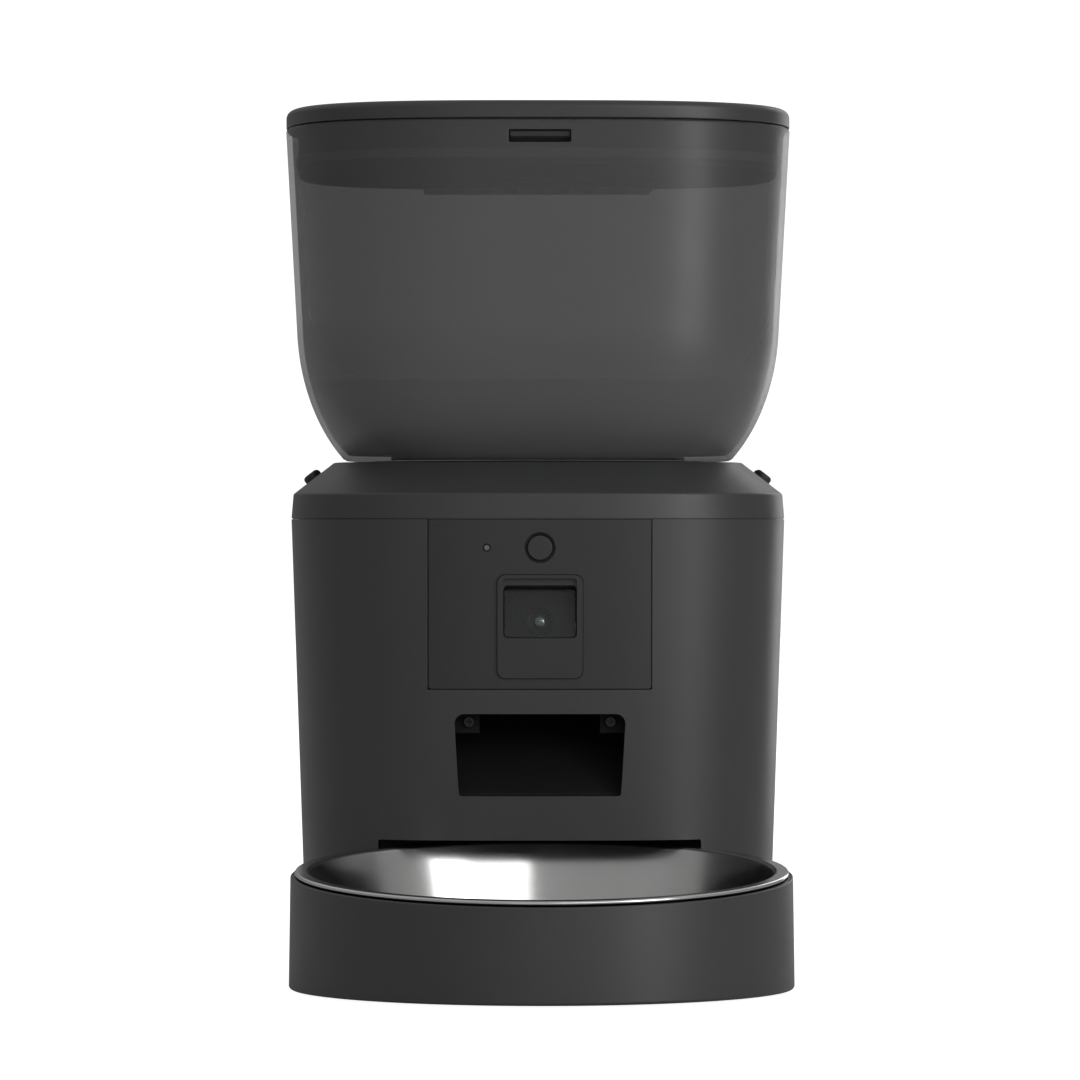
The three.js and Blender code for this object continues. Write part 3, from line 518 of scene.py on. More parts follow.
# ---------------------------------------------------------------- release buttons
# A dark pill on each shoulder with three finger ribs and a flange below that keeps it in its slot.
# Pressed in along the slope, either one lets go of the tank.
soft_black = moulded_plastic("button_plastic", (0.016, 0.016, 0.017), (0.019, 0.019, 0.020), 0.5)


def soften_top(obj, radius, steps=4):
    """Rounds over the edge of a piece's highest face."""
    top = max(vertex.co.z for vertex in obj.data.vertices)
    edit_where(obj, "FACE", lambda f: f.normal.z > 0.9 and f.calc_center_median().z > top - 0.0001)
    bpy.ops.mesh.bevel(offset=radius, segments=steps, affect="EDGES")
    bpy.ops.object.mode_set(mode="OBJECT")


for name, side in (("left", -1), ("right", 1)):
    button = pill(f"release_{name}", 0, -0.007, 0.0024)
    soften_top(button, 0.0012)
    flange = block("flange", (-0.0046, -0.013, -0.0082), (0.0046, 0.013, -0.007), 0.002)
    ribs = [block("rib", (-0.0022, y - 0.0004, 0.002), (0.0022, y + 0.0004, 0.0026), 0.0003)
            for y in (-0.003, 0, 0.003)]
    weld(button, flange, *ribs)
    on_slope(button, side)
    body = node = f"release_button_{name}"
    dress(button, soft_black, body, node, soften=0.00015)

# ---------------------------------------------------------------- front panel
# A flush plate of smoother, slightly darker plastic, set 0.4 mm below the housing's skin. It
# follows the front's curve and holds the feed button, the status light and the camera.
satin_black = moulded_plastic("panel_plastic", (0.0195, 0.020, 0.0205), (0.0215, 0.022, 0.0225), 0.42,
                              3200, 0.00002)
PANEL_RECESS = 0.0004
PANEL_THICK = 0.002
BUTTON_Z = 0.1595
BUTTON_RADIUS = 0.0046
housing_taper = (TOP_HALF - FOOT_HALF) / (HOUSING_TOP - HOUSING_FOOT)


def front_skin(name, outer, inner, low, high):
    """The housing's wall between two depths below its skin."""
    half = [FOOT_HALF + housing_taper * (z - HOUSING_FOOT) for z in (low, high)]
    skin = [(half[0] - outer, low), (half[1] - outer, high)]
    return ringed(name, skin + [(half[1] - inner, high), (half[0] - inner, low)])


panel = front_skin("front_panel_plate", PANEL_RECESS, PANEL_RECESS + PANEL_THICK, 0.1, front_high.z)
panel_outline = block("panel_outline", (front_low.x, -FAR, front_low.z), (front_high.x, BODY_Y - 0.02, 0.3),
                      0.0008, "Y", 3)
boolean(panel, panel_outline, "INTERSECT")
bezel_low, bezel_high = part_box("camera_bezel")
BEZEL_CORNER = 0.003
BEZEL_PLAY = 0.00015
camera_cut = block("camera_cut", (bezel_low.x - BEZEL_PLAY, -FAR, bezel_low.z - BEZEL_PLAY),
                   (bezel_high.x + BEZEL_PLAY, BODY_Y, bezel_high.z + BEZEL_PLAY), BEZEL_CORNER, "Y")
led_low, led_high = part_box("status_led")
led_x = (led_low.x + led_high.x) / 2
carve(
    panel,
    camera_cut,
    pin("button_cut", 0.0057, ((0, -FAR, BUTTON_Z), (0, BODY_Y, BUTTON_Z)), "Y", 64),
    pin("led_cut", 0.00145, ((led_x, -FAR, BUTTON_Z), (led_x, BODY_Y, BUTTON_Z)), "Y", 32),
)
dress(panel, satin_black, "base", "front_panel", soften=0.00025)

# ---------------------------------------------------------------- feed button
# A round, flat push button in a 0.9 mm groove, on a flanged stem that its panel holds in.
button_low, button_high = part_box("feed_button")
feed = pin("feed_push", BUTTON_RADIUS, ((0, button_low.y, BUTTON_Z), (0, button_high.y, BUTTON_Z)), "Y", 64)
flange_ends = [(0, button_low.y + depth, BUTTON_Z) for depth in (0.0035, 0.0049)]
weld(feed, pin("feed_flange", 0.007, flange_ends, "Y"))
dress(feed, satin_black, "feed_button", "feed_button", soften=0.0003)

# ---------------------------------------------------------------- status light
# A milky light guide, 2.4 mm across, from the board out to the panel; it is unlit.
milky = Recipe("light_guide")
haze = milky.ramp(milky.noise(400, 2), 0.3, 0.7, 0.30, 0.42)
milky.shader.inputs["Subsurface Weight"].default_value = 0.2
milky.finish(Base_Color=milky.blend(milky.noise(300), (0.11, 0.113, 0.117), (0.14, 0.142, 0.145)),
             Roughness=haze)
guide = pin("status_light", 0.0012, ((led_x, led_low.y, BUTTON_Z), (led_x, led_high.y, BUTTON_Z)), "Y", 32)
dress(guide, milky.material, "base", "status_led", soften=0.0005, steps=4)

# ---------------------------------------------------------------- camera bezel
# A rounded frame pressed into the panel. Its pocket leans back at the top, under a square brow,
# so the window looks slightly upwards out of it, and the plain lower part closes the bottom.
WINDOW_LEAN = math.radians(14)
window_low, window_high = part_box("camera_window")
WINDOW_Y, WINDOW_Z = (window_low.y + window_high.y) / 2, (window_low.z + window_high.z) / 2
WINDOW_HALF = (window_high.x - window_low.x) / 2
WINDOW_LENGTH = 0.0186
WINDOW_THICK = 0.0016


def leaning(obj):
    """Leans a piece made upright at the origin back to the window's angle, and puts it there."""
    obj.rotation_euler = (-WINDOW_LEAN, 0, 0)
    obj.location = (0, WINDOW_Y, WINDOW_Z)
    return settle(obj)


bezel = front_skin("camera_frame", -0.0007, 0.012, 0.1, 0.16)
bezel_outline = block("bezel_outline", (bezel_low.x, -FAR, bezel_low.z), bezel_high, BEZEL_CORNER, "Y")
boolean(bezel, bezel_outline, "INTERSECT")
WINDOW_GAP = 0.0003
pocket = block("pocket", (-WINDOW_HALF - WINDOW_GAP, -0.02, -WINDOW_LENGTH / 2 - WINDOW_GAP),
               (WINDOW_HALF + WINDOW_GAP, 0.03, WINDOW_LENGTH / 2 + WINDOW_GAP), 0.0016, "Y")
BROW = {"half": 0.0136, "low": 0.1440, "rim": 0.0013, "depth": 0.0012}
skin_y = BODY_Y - FOOT_HALF - housing_taper * (bezel_high.z - HOUSING_FOOT)
brow = block("brow", (-BROW["half"], -FAR, BROW["low"]),
             (BROW["half"], skin_y + BROW["depth"], bezel_high.z - BROW["rim"]), 0.0012, "Y")
carve(bezel, brow, leaning(pocket))
dress(bezel, satin_black, "base", "camera_bezel", soften=0.0005, steps=4)

# ---------------------------------------------------------------- camera window and lens
# A tinted polished window over the camera. Behind it sit a stepped black barrel and a coated
# front lens that throws small bright reflections.
tint = Recipe("tinted_window")
tint.shader.inputs["Alpha"].default_value = 0.3
tint.shader.inputs["Coat Weight"].default_value = 0.3
tint.finish(Base_Color=tint.blend(tint.noise(30), (0.028, 0.030, 0.031), (0.036, 0.038, 0.039)),
            Roughness=tint.ramp(tint.noise(90, 4), 0.4, 0.75, 0.03, 0.06))
half_thick = WINDOW_THICK / 2
pane = block("camera_pane", (-WINDOW_HALF, -half_thick, -WINDOW_LENGTH / 2),
             (WINDOW_HALF, half_thick, WINDOW_LENGTH / 2), 0.0015, "Y")
dress(leaning(pane), tint.material, "base", "camera_window", soften=0.0003)

LENS_DROP = 0.1328 - WINDOW_Z
LENS_FACE = half_thick + 0.0003
baffle_half = (WINDOW_HALF - 0.0004, WINDOW_LENGTH / 2 - 0.0004)
baffle = block("camera_baffle", (-baffle_half[0], LENS_FACE + 0.0006, -baffle_half[1]),
               (baffle_half[0], LENS_FACE + 0.0014, baffle_half[1]))
carve(baffle, pin("lens_gap", 0.0056, ((0, 0, LENS_DROP), (0, 0.01, LENS_DROP)), "Y", 64))
dress(leaning(baffle), soft_black, "base", soften=0)

barrel = pin("lens_barrel", 0.0055, ((0, LENS_FACE, LENS_DROP), (0, LENS_FACE + 0.005, LENS_DROP)), "Y", 64)
edit_where(barrel, "FACE", lambda f: f.normal.y < -0.9)
for width, step in ((0.0008, 0.0), (0.0001, 0.0006), (0.0011, 0.0002), (0.0001, 0.0006), (0.0008, 0.0)):
    bpy.ops.mesh.inset(thickness=width, depth=0)
    bpy.ops.transform.translate(value=(0, step, 0))
bpy.ops.object.mode_set(mode="OBJECT")
tail_ends = [(0, LENS_FACE + depth, LENS_DROP) for depth in (0.0045, 0.007)]
weld(barrel, pin("lens_tail", 0.003, tail_ends, "Y"))
dress(leaning(barrel), soft_black, "base", "camera_lens", soften=0.0001)

coated = Recipe("coated_lens")
coated.shader.inputs["Coat Weight"].default_value = 1.0
coated.shader.inputs["Metallic"].default_value = 0.8
coated.finish(Base_Color=coated.blend(coated.noise(500), (0.34, 0.44, 0.44), (0.42, 0.48, 0.52)),
              Roughness=coated.ramp(coated.noise(200), 0.4, 0.7, 0.02, 0.05))
deselect()
LENS_RADIUS = 0.0032
bpy.ops.mesh.primitive_uv_sphere_add(
    segments=48, ring_count=24, radius=LENS_RADIUS, location=(0, LENS_FACE + LENS_RADIUS, LENS_DROP))
glass = bpy.context.object
glass.name = "front_lens"
bpy.ops.object.transform_apply(location=True)
bpy.ops.object.mode_set(mode="EDIT")
bpy.ops.mesh.select_all(action="SELECT")
bpy.ops.mesh.bisect(plane_co=(0, LENS_FACE + LENS_RADIUS / 2, 0), plane_no=(0, 1, 0), use_fill=True,
                    clear_outer=True)
bpy.ops.object.mode_set(mode="OBJECT")
dress(leaning(glass), coated.material, "base", soften=0)

# ---------------------------------------------------------------- food outlet
# A black moulded duct that takes the food from the drop hole down to the front. Two dark
# self-tapping screws hold it by small ears in its upper corners.
inner_black = moulded_plastic("inner_plastic", (0.0035, 0.0035, 0.0038), (0.0050, 0.0050, 0.0053), 0.68,
                              1800, 0.00004)
inner_black.node_tree.nodes["Principled BSDF"].inputs["Specular IOR Level"].default_value = 0.2


def merged_copy(node, name):
    """A copy of a plain CAD piece, cleared of its stored properties, to be dressed with finer edges."""
    pick(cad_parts[node])
    bpy.ops.object.duplicate()
    copy = bpy.context.object
    copy.parent = None
    copy.name = name
    for key in list(copy.keys()):
        del copy[key]
    return copy


chute = merged_copy("outlet_chute", "food_chute")
dress(chute, inner_black, "base", "outlet_chute", soften=0.0008)

dark_steel = Recipe("blackened_steel")
dark_steel.shader.inputs["Metallic"].default_value = 1.0
dark_steel.finish(
    Base_Color=dark_steel.blend(dark_steel.noise(900, 3), (0.030, 0.030, 0.031), (0.045, 0.045, 0.046)),
    Roughness=dark_steel.ramp(dark_steel.noise(1500, 2), 0.3, 0.7, 0.35, 0.5),
)
SCREW_HEAD = 0.0019
CROSS_LONG, CROSS_SHORT, CROSS_DEPTH = 0.0011, 0.00025, 0.0008
for name in ("left", "right"):
    low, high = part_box(f"chute_screw_{name}")
    x, z = (low.x + high.x) / 2, (low.z + high.z) / 2
    screw = pin(f"duct_screw_{name}", SCREW_HEAD, ((x, low.y, z), (x, low.y + 0.0013, z)), "Y", 32)
    for wide, tall in ((CROSS_LONG, CROSS_SHORT), (CROSS_SHORT, CROSS_LONG)):
        cross_low, cross_high = (x - wide, low.y - 0.001, z - tall), (x + wide, low.y + CROSS_DEPTH, z + tall)
        carve(screw, block("cross", cross_low, cross_high))
    weld(screw, pin("shank", 0.0012, ((x, low.y + 0.001, z), (x, high.y, z)), "Y", 24))
    dress(screw, dark_steel.material, "base", f"chute_screw_{name}", soften=0.0002)

# ---------------------------------------------------------------- pull-out tray
# A round tray in the same charcoal plastic, cut off on a slant so that the bowl tips forward. It
# stands on three thin rubber pads and slides out of the dock at the front.
TRAY_LEAN = math.radians(4.1)
TRAY_RADIUS = tray_high.x
TRAY_TOP_RADIUS = TRAY_RADIUS - 0.0007
TRAY_WALL = 0.0022
TRAY_FLOOR = 0.003
TRAY_CORNER = 0.003
UNCUT_TOP = 0.052
ROUND_SIDES = 192
RIM_Z = 0.0415


def leaning_forward(obj):
    """Leans a piece made level at the bowl's axis down towards the front, about the rim's middle."""
    pivot = mathutils.Vector((0, BOWL_Y, RIM_Z))
    turn = mathutils.Matrix.Rotation(TRAY_LEAN, 4, "X")
    obj.matrix_world = mathutils.Matrix.Translation(pivot) @ turn @ mathutils.Matrix.Translation(-pivot)
    return settle(obj)


tray_foot = arc((TRAY_RADIUS - FOOT_EDGE, tray_low.z + FOOT_EDGE), FOOT_EDGE, -90, 0)
tray_inside = [(TRAY_TOP_RADIUS, UNCUT_TOP), (TRAY_TOP_RADIUS - TRAY_WALL, UNCUT_TOP)]
tray_corner = arc((TRAY_RADIUS - TRAY_WALL - TRAY_CORNER, TRAY_FLOOR + TRAY_CORNER), TRAY_CORNER, 0, -90)
tray_rings = tray_foot + tray_inside + tray_corner
tray = ringed("round_tray", tray_rings, BOWL_Y, square=False, sides=ROUND_SIDES, ends="caps")
above = block("above_rim", (-0.15, BOWL_Y - 0.15, RIM_Z), (0.15, BOWL_Y + 0.15, 0.2))
carve(tray, leaning_forward(above))
dress(tray, charcoal, "tray", "bowl_tray", soften=0.0005)

soft_rubber = Recipe("soft_rubber")
soft_rubber.finish(
    Base_Color=soft_rubber.blend(soft_rubber.noise(60, 4), (0.010, 0.010, 0.010), (0.018, 0.018, 0.018)),
    Roughness=soft_rubber.ramp(soft_rubber.noise(200), 0.3, 0.7, 0.75, 0.92),
    Normal=soft_rubber.bump(soft_rubber.noise(1400, 2), 0.00005),
)
for count in (1, 2, 3):
    pad = merged_copy(f"tray_pad_{count}", f"tray_rest_{count}")
    dress(pad, soft_rubber.material, "tray", f"tray_pad_{count}", soften=0.0001)

# ---------------------------------------------------------------- steel bowl
# Deep-drawn stainless steel: a flat floor, a wide bottom radius, a steep wall, and a flat flange
# rolled under at its edge, which rests on the tray. Polished, with fine rings from the polishing.
BOWL_SEAT = RIM_Z + 0.0003
SHEET = 0.0008
MOUTH = 0.0845
FLANGE_EDGE = 0.0892
BOWL_DEPTH = 0.032
WALL_LEAN = 15
BOTTOM_RADIUS = 0.016
FLANGE_RISE = 0.0017

bowl_floor = BOWL_SEAT - BOWL_DEPTH + 0.0002
wall_foot = MOUTH - 0.0225 * math.tan(math.radians(WALL_LEAN))
bottom_centre = (wall_foot - BOTTOM_RADIUS * math.cos(math.radians(WALL_LEAN)), bowl_floor + BOTTOM_RADIUS)
outside = arc(bottom_centre, BOTTOM_RADIUS, -90, -WALL_LEAN, 10)
outside += [(MOUTH, BOWL_SEAT)]
edge_centre = (FLANGE_EDGE - FLANGE_RISE / 2, BOWL_SEAT + FLANGE_RISE / 2)
rolled_edge = arc(edge_centre, FLANGE_RISE / 2, -90, 90, 8)
lip = arc((MOUTH + 0.0006, BOWL_SEAT + FLANGE_RISE - 0.0014), 0.0014, 90, 180 - WALL_LEAN, 6)
inside = arc(bottom_centre, BOTTOM_RADIUS - SHEET, -WALL_LEAN, -90, 10)
bowl_rings = outside + rolled_edge + lip + inside
bowl = ringed("feeding_bowl", bowl_rings, BOWL_Y, square=False, sides=ROUND_SIDES, ends="caps")

steel = Recipe("polished_steel")
steel.shader.inputs["Metallic"].default_value = 1.0
centred = steel.node("ShaderNodeMapping", {}, {"Vector": steel.place, "Location": (0, -BOWL_Y, 0)})
flat_x, flat_y, height = (steel.along(axis, centred) for axis in range(3))
radius = steel.node("ShaderNodeMath", {"operation": "SQRT"}, {0: flat_x * flat_x + flat_y * flat_y})
rings = steel.node("ShaderNodeTexNoise", {"noise_dimensions": "1D"},
                   {"W": radius * 2600 + height * 900, "Detail": 3})
smudge = steel.ramp(steel.noise(35, 4), 0.35, 0.75)
steel.finish(
    Base_Color=steel.blend(smudge, (0.60, 0.60, 0.595), (0.55, 0.55, 0.545)),
    Roughness=rings * 0.07 + smudge * 0.04 + 0.13,
    Normal=steel.bump(rings, 0.000001),
)
leaning_forward(bowl)
dress(bowl, steel.material, "bowl", "steel_bowl", soften=0, angle=40)

# ---------------------------------------------------------------- food tank
# One smoked, see-through moulding, whose straight sides tuck in like a bowl towards the bottom.
# There it is less see-through and painted lighter; the lighter colour is painted light that stands
# in for the light seen through it. It has a flat foot with a hole for the rotor, a window for the latch
# in front, and two hinge knuckles at the back.
TANK_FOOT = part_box("food_tank")[0].z
TANK_TOP = 0.318
TANK_HALF = 0.0961
TANK_DRAFT = 0.054
TUCK_TOP = 0.240
TUCK_LENGTH = 0.060
TUCK_DEPTH = 0.0395
TANK_WALL = 0.0022
KNUCKLE_RADIUS = 0.0026
HINGE_PIN = 0.0011
hinge_low, hinge_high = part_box("hinge_pin")
HINGE_Y, HINGE_Z = (hinge_low.y + hinge_high.y) / 2, (hinge_low.z + hinge_high.z) / 2
HINGE_END = hinge_high.x


def tank_half(z):
    """The tank's half-width at a height: a drafted wall, tucked in along a quarter ellipse."""
    down = max(0.0, TUCK_TOP - z) / TUCK_LENGTH
    return TANK_HALF - TANK_DRAFT * (TANK_TOP - z) - TUCK_DEPTH * (1 - math.sqrt(1 - down * down))


tuck_levels = [TANK_FOOT + 0.0006 + (TUCK_TOP - TANK_FOOT) * step / 22 for step in range(23)]
outer_wall = [(tank_half(z), z) for z in tuck_levels]
outer_wall += [(tank_half(z), z) for z in (0.265, 0.290, TANK_TOP - 0.0006)]
outer_wall += [(TANK_HALF - 0.0006, TANK_TOP)]
inner_wall = [(half - TANK_WALL, z) for half, z in reversed(outer_wall[3:-1])]
inner_wall = [(TANK_HALF - TANK_WALL + 0.0005, TANK_TOP)] + inner_wall
foot_top = TANK_FOOT + 0.0022
foot_ring = [(tank_half(foot_top) - TANK_WALL - 0.001, foot_top), (0.056, foot_top), (0.056, TANK_FOOT),
             (tank_half(TANK_FOOT) - 0.0006, TANK_FOOT)]
tank = ringed("smoked_tank", outer_wall + inner_wall + foot_ring)


def knuckle(x0, x1):
    return pin("knuckle", KNUCKLE_RADIUS, ((x0, HINGE_Y, HINGE_Z), (x1, HINGE_Y, HINGE_Z)), "X", 40)


def hinge_cut(reach, radius):
    return pin("hinge_cut", radius, ((-reach, HINGE_Y, HINGE_Z), (reach, HINGE_Y, HINGE_Z)), "X", 40)


LID_KNUCKLE = 0.014
PLAY = 0.0003
latch_low, latch_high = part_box("lid_latch")
carve(
    tank,
    hinge_cut(LID_KNUCKLE + PLAY, KNUCKLE_RADIUS + PLAY),
    block("latch_window", (-0.0115, -FAR, 0.3094), (0.0115, BODY_Y, 0.3141), 0.0006, "Y", 3),
)
for side in (-1, 1):
    x0, x1 = sorted((side * (LID_KNUCKLE + PLAY), side * HINGE_END))
    web = block("web", (x0, HINGE_Y - 0.0026, HINGE_Z - KNUCKLE_RADIUS), (x1, HINGE_Y, HINGE_Z - 0.0005))
    weld(tank, knuckle(x0, x1), web)
carve(tank, hinge_cut(HINGE_END + 0.001, HINGE_PIN + PLAY))

smoked = Recipe("smoked_plastic")
smoked.shader.inputs["Coat Weight"].default_value = 0.15
smoked.shader.inputs["Coat Roughness"].default_value = 0.25
# Lower down the tank is less see-through and painted lighter: painted light standing in for the light that
# shows through it.
opaque_and_painted_light_low = smoked.ramp(smoked.along(2), 0.250, 0.218)
smoked.finish(
    Base_Color=smoked.blend(opaque_and_painted_light_low, (0.064, 0.064, 0.0655), (0.098, 0.098, 0.100)),
    Alpha=opaque_and_painted_light_low * 0.14 + 0.60,
    Roughness=smoked.ramp(smoked.noise(45, 4), 0.35, 0.7, 0.36, 0.43),
    Normal=smoked.bump(smoked.noise(2200, 1), 0.000002),
)
dress(tank, smoked.material, "tank", "food_tank", soften=0)

# ---------------------------------------------------------------- inside the tank
# A pale funnel sheds the food to the middle. Below it the rotor chamber hangs in the base's well,
# with a white rotor that carries one portion at a time to the drop hole, under a grey wiper.
funnel_low, funnel_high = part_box("tank_funnel")
funnel_reach, funnel_throat = funnel_high.x, 0.055
funnel_wall = [(funnel_reach, funnel_high.z), (funnel_reach - 0.0006, funnel_high.z)]
funnel_wall += [(funnel_throat, funnel_low.z + 0.0025), (funnel_throat, funnel_low.z)]
funnel_wall += [(funnel_throat + 0.0012, funnel_low.z), (funnel_reach, funnel_high.z - 0.0016)]
funnel = ringed("food_funnel", funnel_wall)
natural = moulded_plastic("natural_plastic", (0.62, 0.61, 0.58), (0.70, 0.69, 0.66), 0.45, 1500, 0.00002)
dress(funnel, natural, "tank", "tank_funnel", soften=0.0003)

chamber_low, chamber_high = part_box("rotor_chamber")
CHAMBER_RADIUS = 0.0565
CHAMBER_OUTSIDE = CHAMBER_RADIUS + 0.002
chamber_base, chamber_top = chamber_low.z, chamber_high.z
cup = [(CHAMBER_OUTSIDE - 0.001, chamber_base), (CHAMBER_OUTSIDE, chamber_base + 0.001)]
cup += [(CHAMBER_OUTSIDE, chamber_top - 0.0022), (chamber_high.x, chamber_top - 0.0022)]
cup += [(chamber_high.x, chamber_top), (CHAMBER_RADIUS + 0.0008, chamber_top)]
cup += [(CHAMBER_RADIUS, chamber_top - 0.0008)]
cup += arc((CHAMBER_RADIUS - 0.0015, chamber_base + 0.0037), 0.0015, 0, -90)
chamber = ringed("rotor_cup", cup, square=False, sides=160, ends="caps")
carve(chamber, block("drop_cut", drop_low, drop_high, 0.003),
      pin("shaft_cut", SHAFT_HOLE, ((0, BODY_Y, 0.1), (0, BODY_Y, 0.15))))
dress(chamber, inner_black, "tank", "rotor_chamber", soften=0.0003)

rotor_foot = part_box("rotor")[0].z
ROTOR_TOP = 0.180
hub = [(0.0095, rotor_foot), (0.010, rotor_foot + 0.0005), (0.010, ROTOR_TOP)]
hub += [(0.010 * math.cos(t), ROTOR_TOP + 0.0068 * math.sin(t)) for t in (0.35, 0.7, 1.05, 1.4)]
rotor = ringed("portion_rotor", hub, square=False, sides=64, ends="caps")
for step in range(3):
    vane = block("vane", (-0.0553, -0.001, rotor_foot), (0.0553, 0.001, ROTOR_TOP), 0.004, "Y", 4)
    vane.rotation_euler = (0, 0, math.radians(60 * step))
    vane.location = (0, BODY_Y, 0)
    weld(rotor, settle(vane))
hex_radius = 0.0106 / math.sqrt(3)
carve(rotor, pin("socket", hex_radius, ((0, BODY_Y, 0.14), (0, BODY_Y, 0.158)), sides=6))
dress(rotor, natural, "rotor", "rotor", soften=0.0004)

silicone = Recipe("grey_silicone")
silicone.shader.inputs["Subsurface Weight"].default_value = 0.15
silicone.finish(
    Base_Color=silicone.blend(silicone.noise(80, 3), (0.30, 0.30, 0.30), (0.36, 0.36, 0.36)),
    Roughness=silicone.ramp(silicone.noise(150), 0.3, 0.7, 0.5, 0.68),
    Normal=silicone.bump(silicone.noise(900, 2), 0.00003),
)
wiper = merged_copy("wiper", "chamber_wiper")
dress(wiper, silicone.material, "tank", "wiper", soften=0.0005)

# ---------------------------------------------------------------- lid
# A shallow cap in the same charcoal plastic with a soft edge all round. A liner plugs the tank's
# mouth under it with a grey lip seal, and a steel pin hinges it at the back.
lid_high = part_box("lid_shell")[1]
LID_HALF = lid_high.x
LID_FOOT = 0.3184
LID_WALL = 0.002
LID_EDGE = 0.0026
lid_inside = [(LID_HALF - LID_WALL, lid_high.z - LID_WALL), (LID_HALF - LID_WALL, LID_FOOT)]
lid_foot = arc((LID_HALF - 0.0005, LID_FOOT + 0.0005), 0.0005, -90, 0, 3)
lid_edge = arc((LID_HALF - LID_EDGE, lid_high.z - LID_EDGE), LID_EDGE, 0, 90, 8)
lid = ringed("lid_cap", lid_inside + lid_foot + lid_edge, ends="caps")
carve(lid, hinge_cut(HINGE_END + PLAY, KNUCKLE_RADIUS + PLAY))
arm = block("arm", (-LID_KNUCKLE, HINGE_Y - 0.003, HINGE_Z + 0.0005),
            (LID_KNUCKLE, HINGE_Y, HINGE_Z + KNUCKLE_RADIUS))
weld(lid, knuckle(-LID_KNUCKLE, LID_KNUCKLE), arm)
carve(lid, hinge_cut(LID_KNUCKLE + 0.001, HINGE_PIN + PLAY))
dress(lid, charcoal, "lid", "lid_shell", soften=0)

bright_steel = Recipe("bright_steel")
bright_steel.shader.inputs["Metallic"].default_value = 1.0
bright_steel.finish(
    Base_Color=bright_steel.blend(bright_steel.noise(90, 3), (0.50, 0.50, 0.50), (0.60, 0.60, 0.59)),
    Roughness=bright_steel.ramp(bright_steel.noise(700, 3), 0.3, 0.7, 0.22, 0.38),
)
hinge = pin("hinge_rod", HINGE_PIN, ((-HINGE_END, HINGE_Y, HINGE_Z), (HINGE_END, HINGE_Y, HINGE_Z)), "X", 32)
dress(hinge, bright_steel.material, "tank", "hinge_pin", soften=0.0003)

SKIRT_HALF = skirt_high.x
SKIRT_WALL = 0.0018
plate_under = skirt_high.z - 0.0018
skirt_inside = [(SKIRT_HALF - SKIRT_WALL, plate_under), (SKIRT_HALF - SKIRT_WALL, skirt_low.z)]
skirt_outside = [(SKIRT_HALF, skirt_low.z), (SKIRT_HALF, skirt_high.z)]
liner = ringed("lid_plug", skirt_inside + skirt_outside, ends="caps")
carve(liner, block("latch_room", (-0.0118, BODY_Y - 0.1, latch_low.z - 0.001),
                   (0.0118, BODY_Y - 0.085, latch_high.z + 0.001)))
weld(liner, block("spring_post", (-0.006, BODY_Y - 0.0815, latch_low.z - 0.001),
                  (0.006, BODY_Y - 0.080, plate_under + 0.0005)))
dress(liner, charcoal, "lid", "lid_liner", soften=0.0004)

seal_low, seal_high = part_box("lid_seal")
seal_middle = (seal_low.z + seal_high.z) / 2
seal_back, seal_shoulder = seal_high.x - 0.0007, seal_high.x - 0.0004
seal_rings = [(seal_back, seal_low.z), (seal_shoulder, seal_low.z), (seal_high.x, seal_middle),
              (seal_shoulder, seal_high.z), (seal_back, seal_high.z)]
dress(ringed("lip_seal", seal_rings), silicone.material, "lid", "lid_seal", soften=0)

# ---------------------------------------------------------------- lid latch
# A small sprung catch in the liner's front. It shows through the tank's window, and the lower
# edge of its face is chamfered away to slide in over the tank's rim.
latch = block("lid_catch", latch_low, latch_high)
edit_where(latch, "EDGE", lambda e: all(v.co.y < latch_low.y + 0.0001 and v.co.z < latch_low.z + 0.0001
                                        for v in e.verts))
bpy.ops.mesh.bevel(offset=0.0020, segments=1, affect="EDGES")
bpy.ops.object.mode_set(mode="OBJECT")
dress(latch, satin_black, "lid_latch", "lid_latch", soften=0.0003)


def spring(name, radius, wire, length, turns):
    """A coil of round wire along +Z from the origin, with its two ends closed."""
    deselect()
    bpy.ops.mesh.primitive_circle_add(
        vertices=10, radius=wire, location=(radius, 0, 0), rotation=(math.pi / 2, 0, 0))
    obj = bpy.context.object
    obj.name = name
    bpy.ops.object.transform_apply(location=True, rotation=True)
    screw = obj.modifiers.new("coil", "SCREW")
    screw.angle = 2 * math.pi
    screw.iterations = turns
    screw.screw_offset = length / turns
    screw.steps = screw.render_steps = 24
    bpy.ops.object.modifier_apply(modifier=screw.name)
    bpy.ops.object.mode_set(mode="EDIT")
    bpy.ops.mesh.select_all(action="SELECT")
    bpy.ops.mesh.remove_doubles(threshold=0.000001)
    bpy.ops.mesh.fill_holes(sides=0)
    bpy.ops.mesh.select_all(action="SELECT")
    bpy.ops.mesh.normals_make_consistent(inside=False)
    bpy.ops.object.mode_set(mode="OBJECT")
    return obj


def spring_along_y(node, name, radius, wire, body):
    """A spring in a CAD spring's place, lying front to back."""
    low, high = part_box(node)
    coil = spring(name, radius, wire, high.y - low.y - 2 * wire, 3)
    coil.rotation_euler = (-math.pi / 2, 0, 0)
    coil.location = ((low.x + high.x) / 2, low.y + wire, (low.z + high.z) / 2)
    dress(settle(coil), bright_steel.material, body, node, soften=0)


spring_along_y("latch_spring", "catch_spring", 0.0015, 0.0003, "lid")
for side, name in ((-1, "left"), (1, "right")):
    coil = spring(f"release_coil_{name}", 0.0024, 0.00035, 0.0029, 3)
    bpy.ops.transform.translate(value=(0, 0, -0.0138))
    bpy.ops.object.transform_apply(location=True)
    node = f"release_spring_{name}"
    dress(on_slope(coil, side), bright_steel.material, "base", node, soften=0)

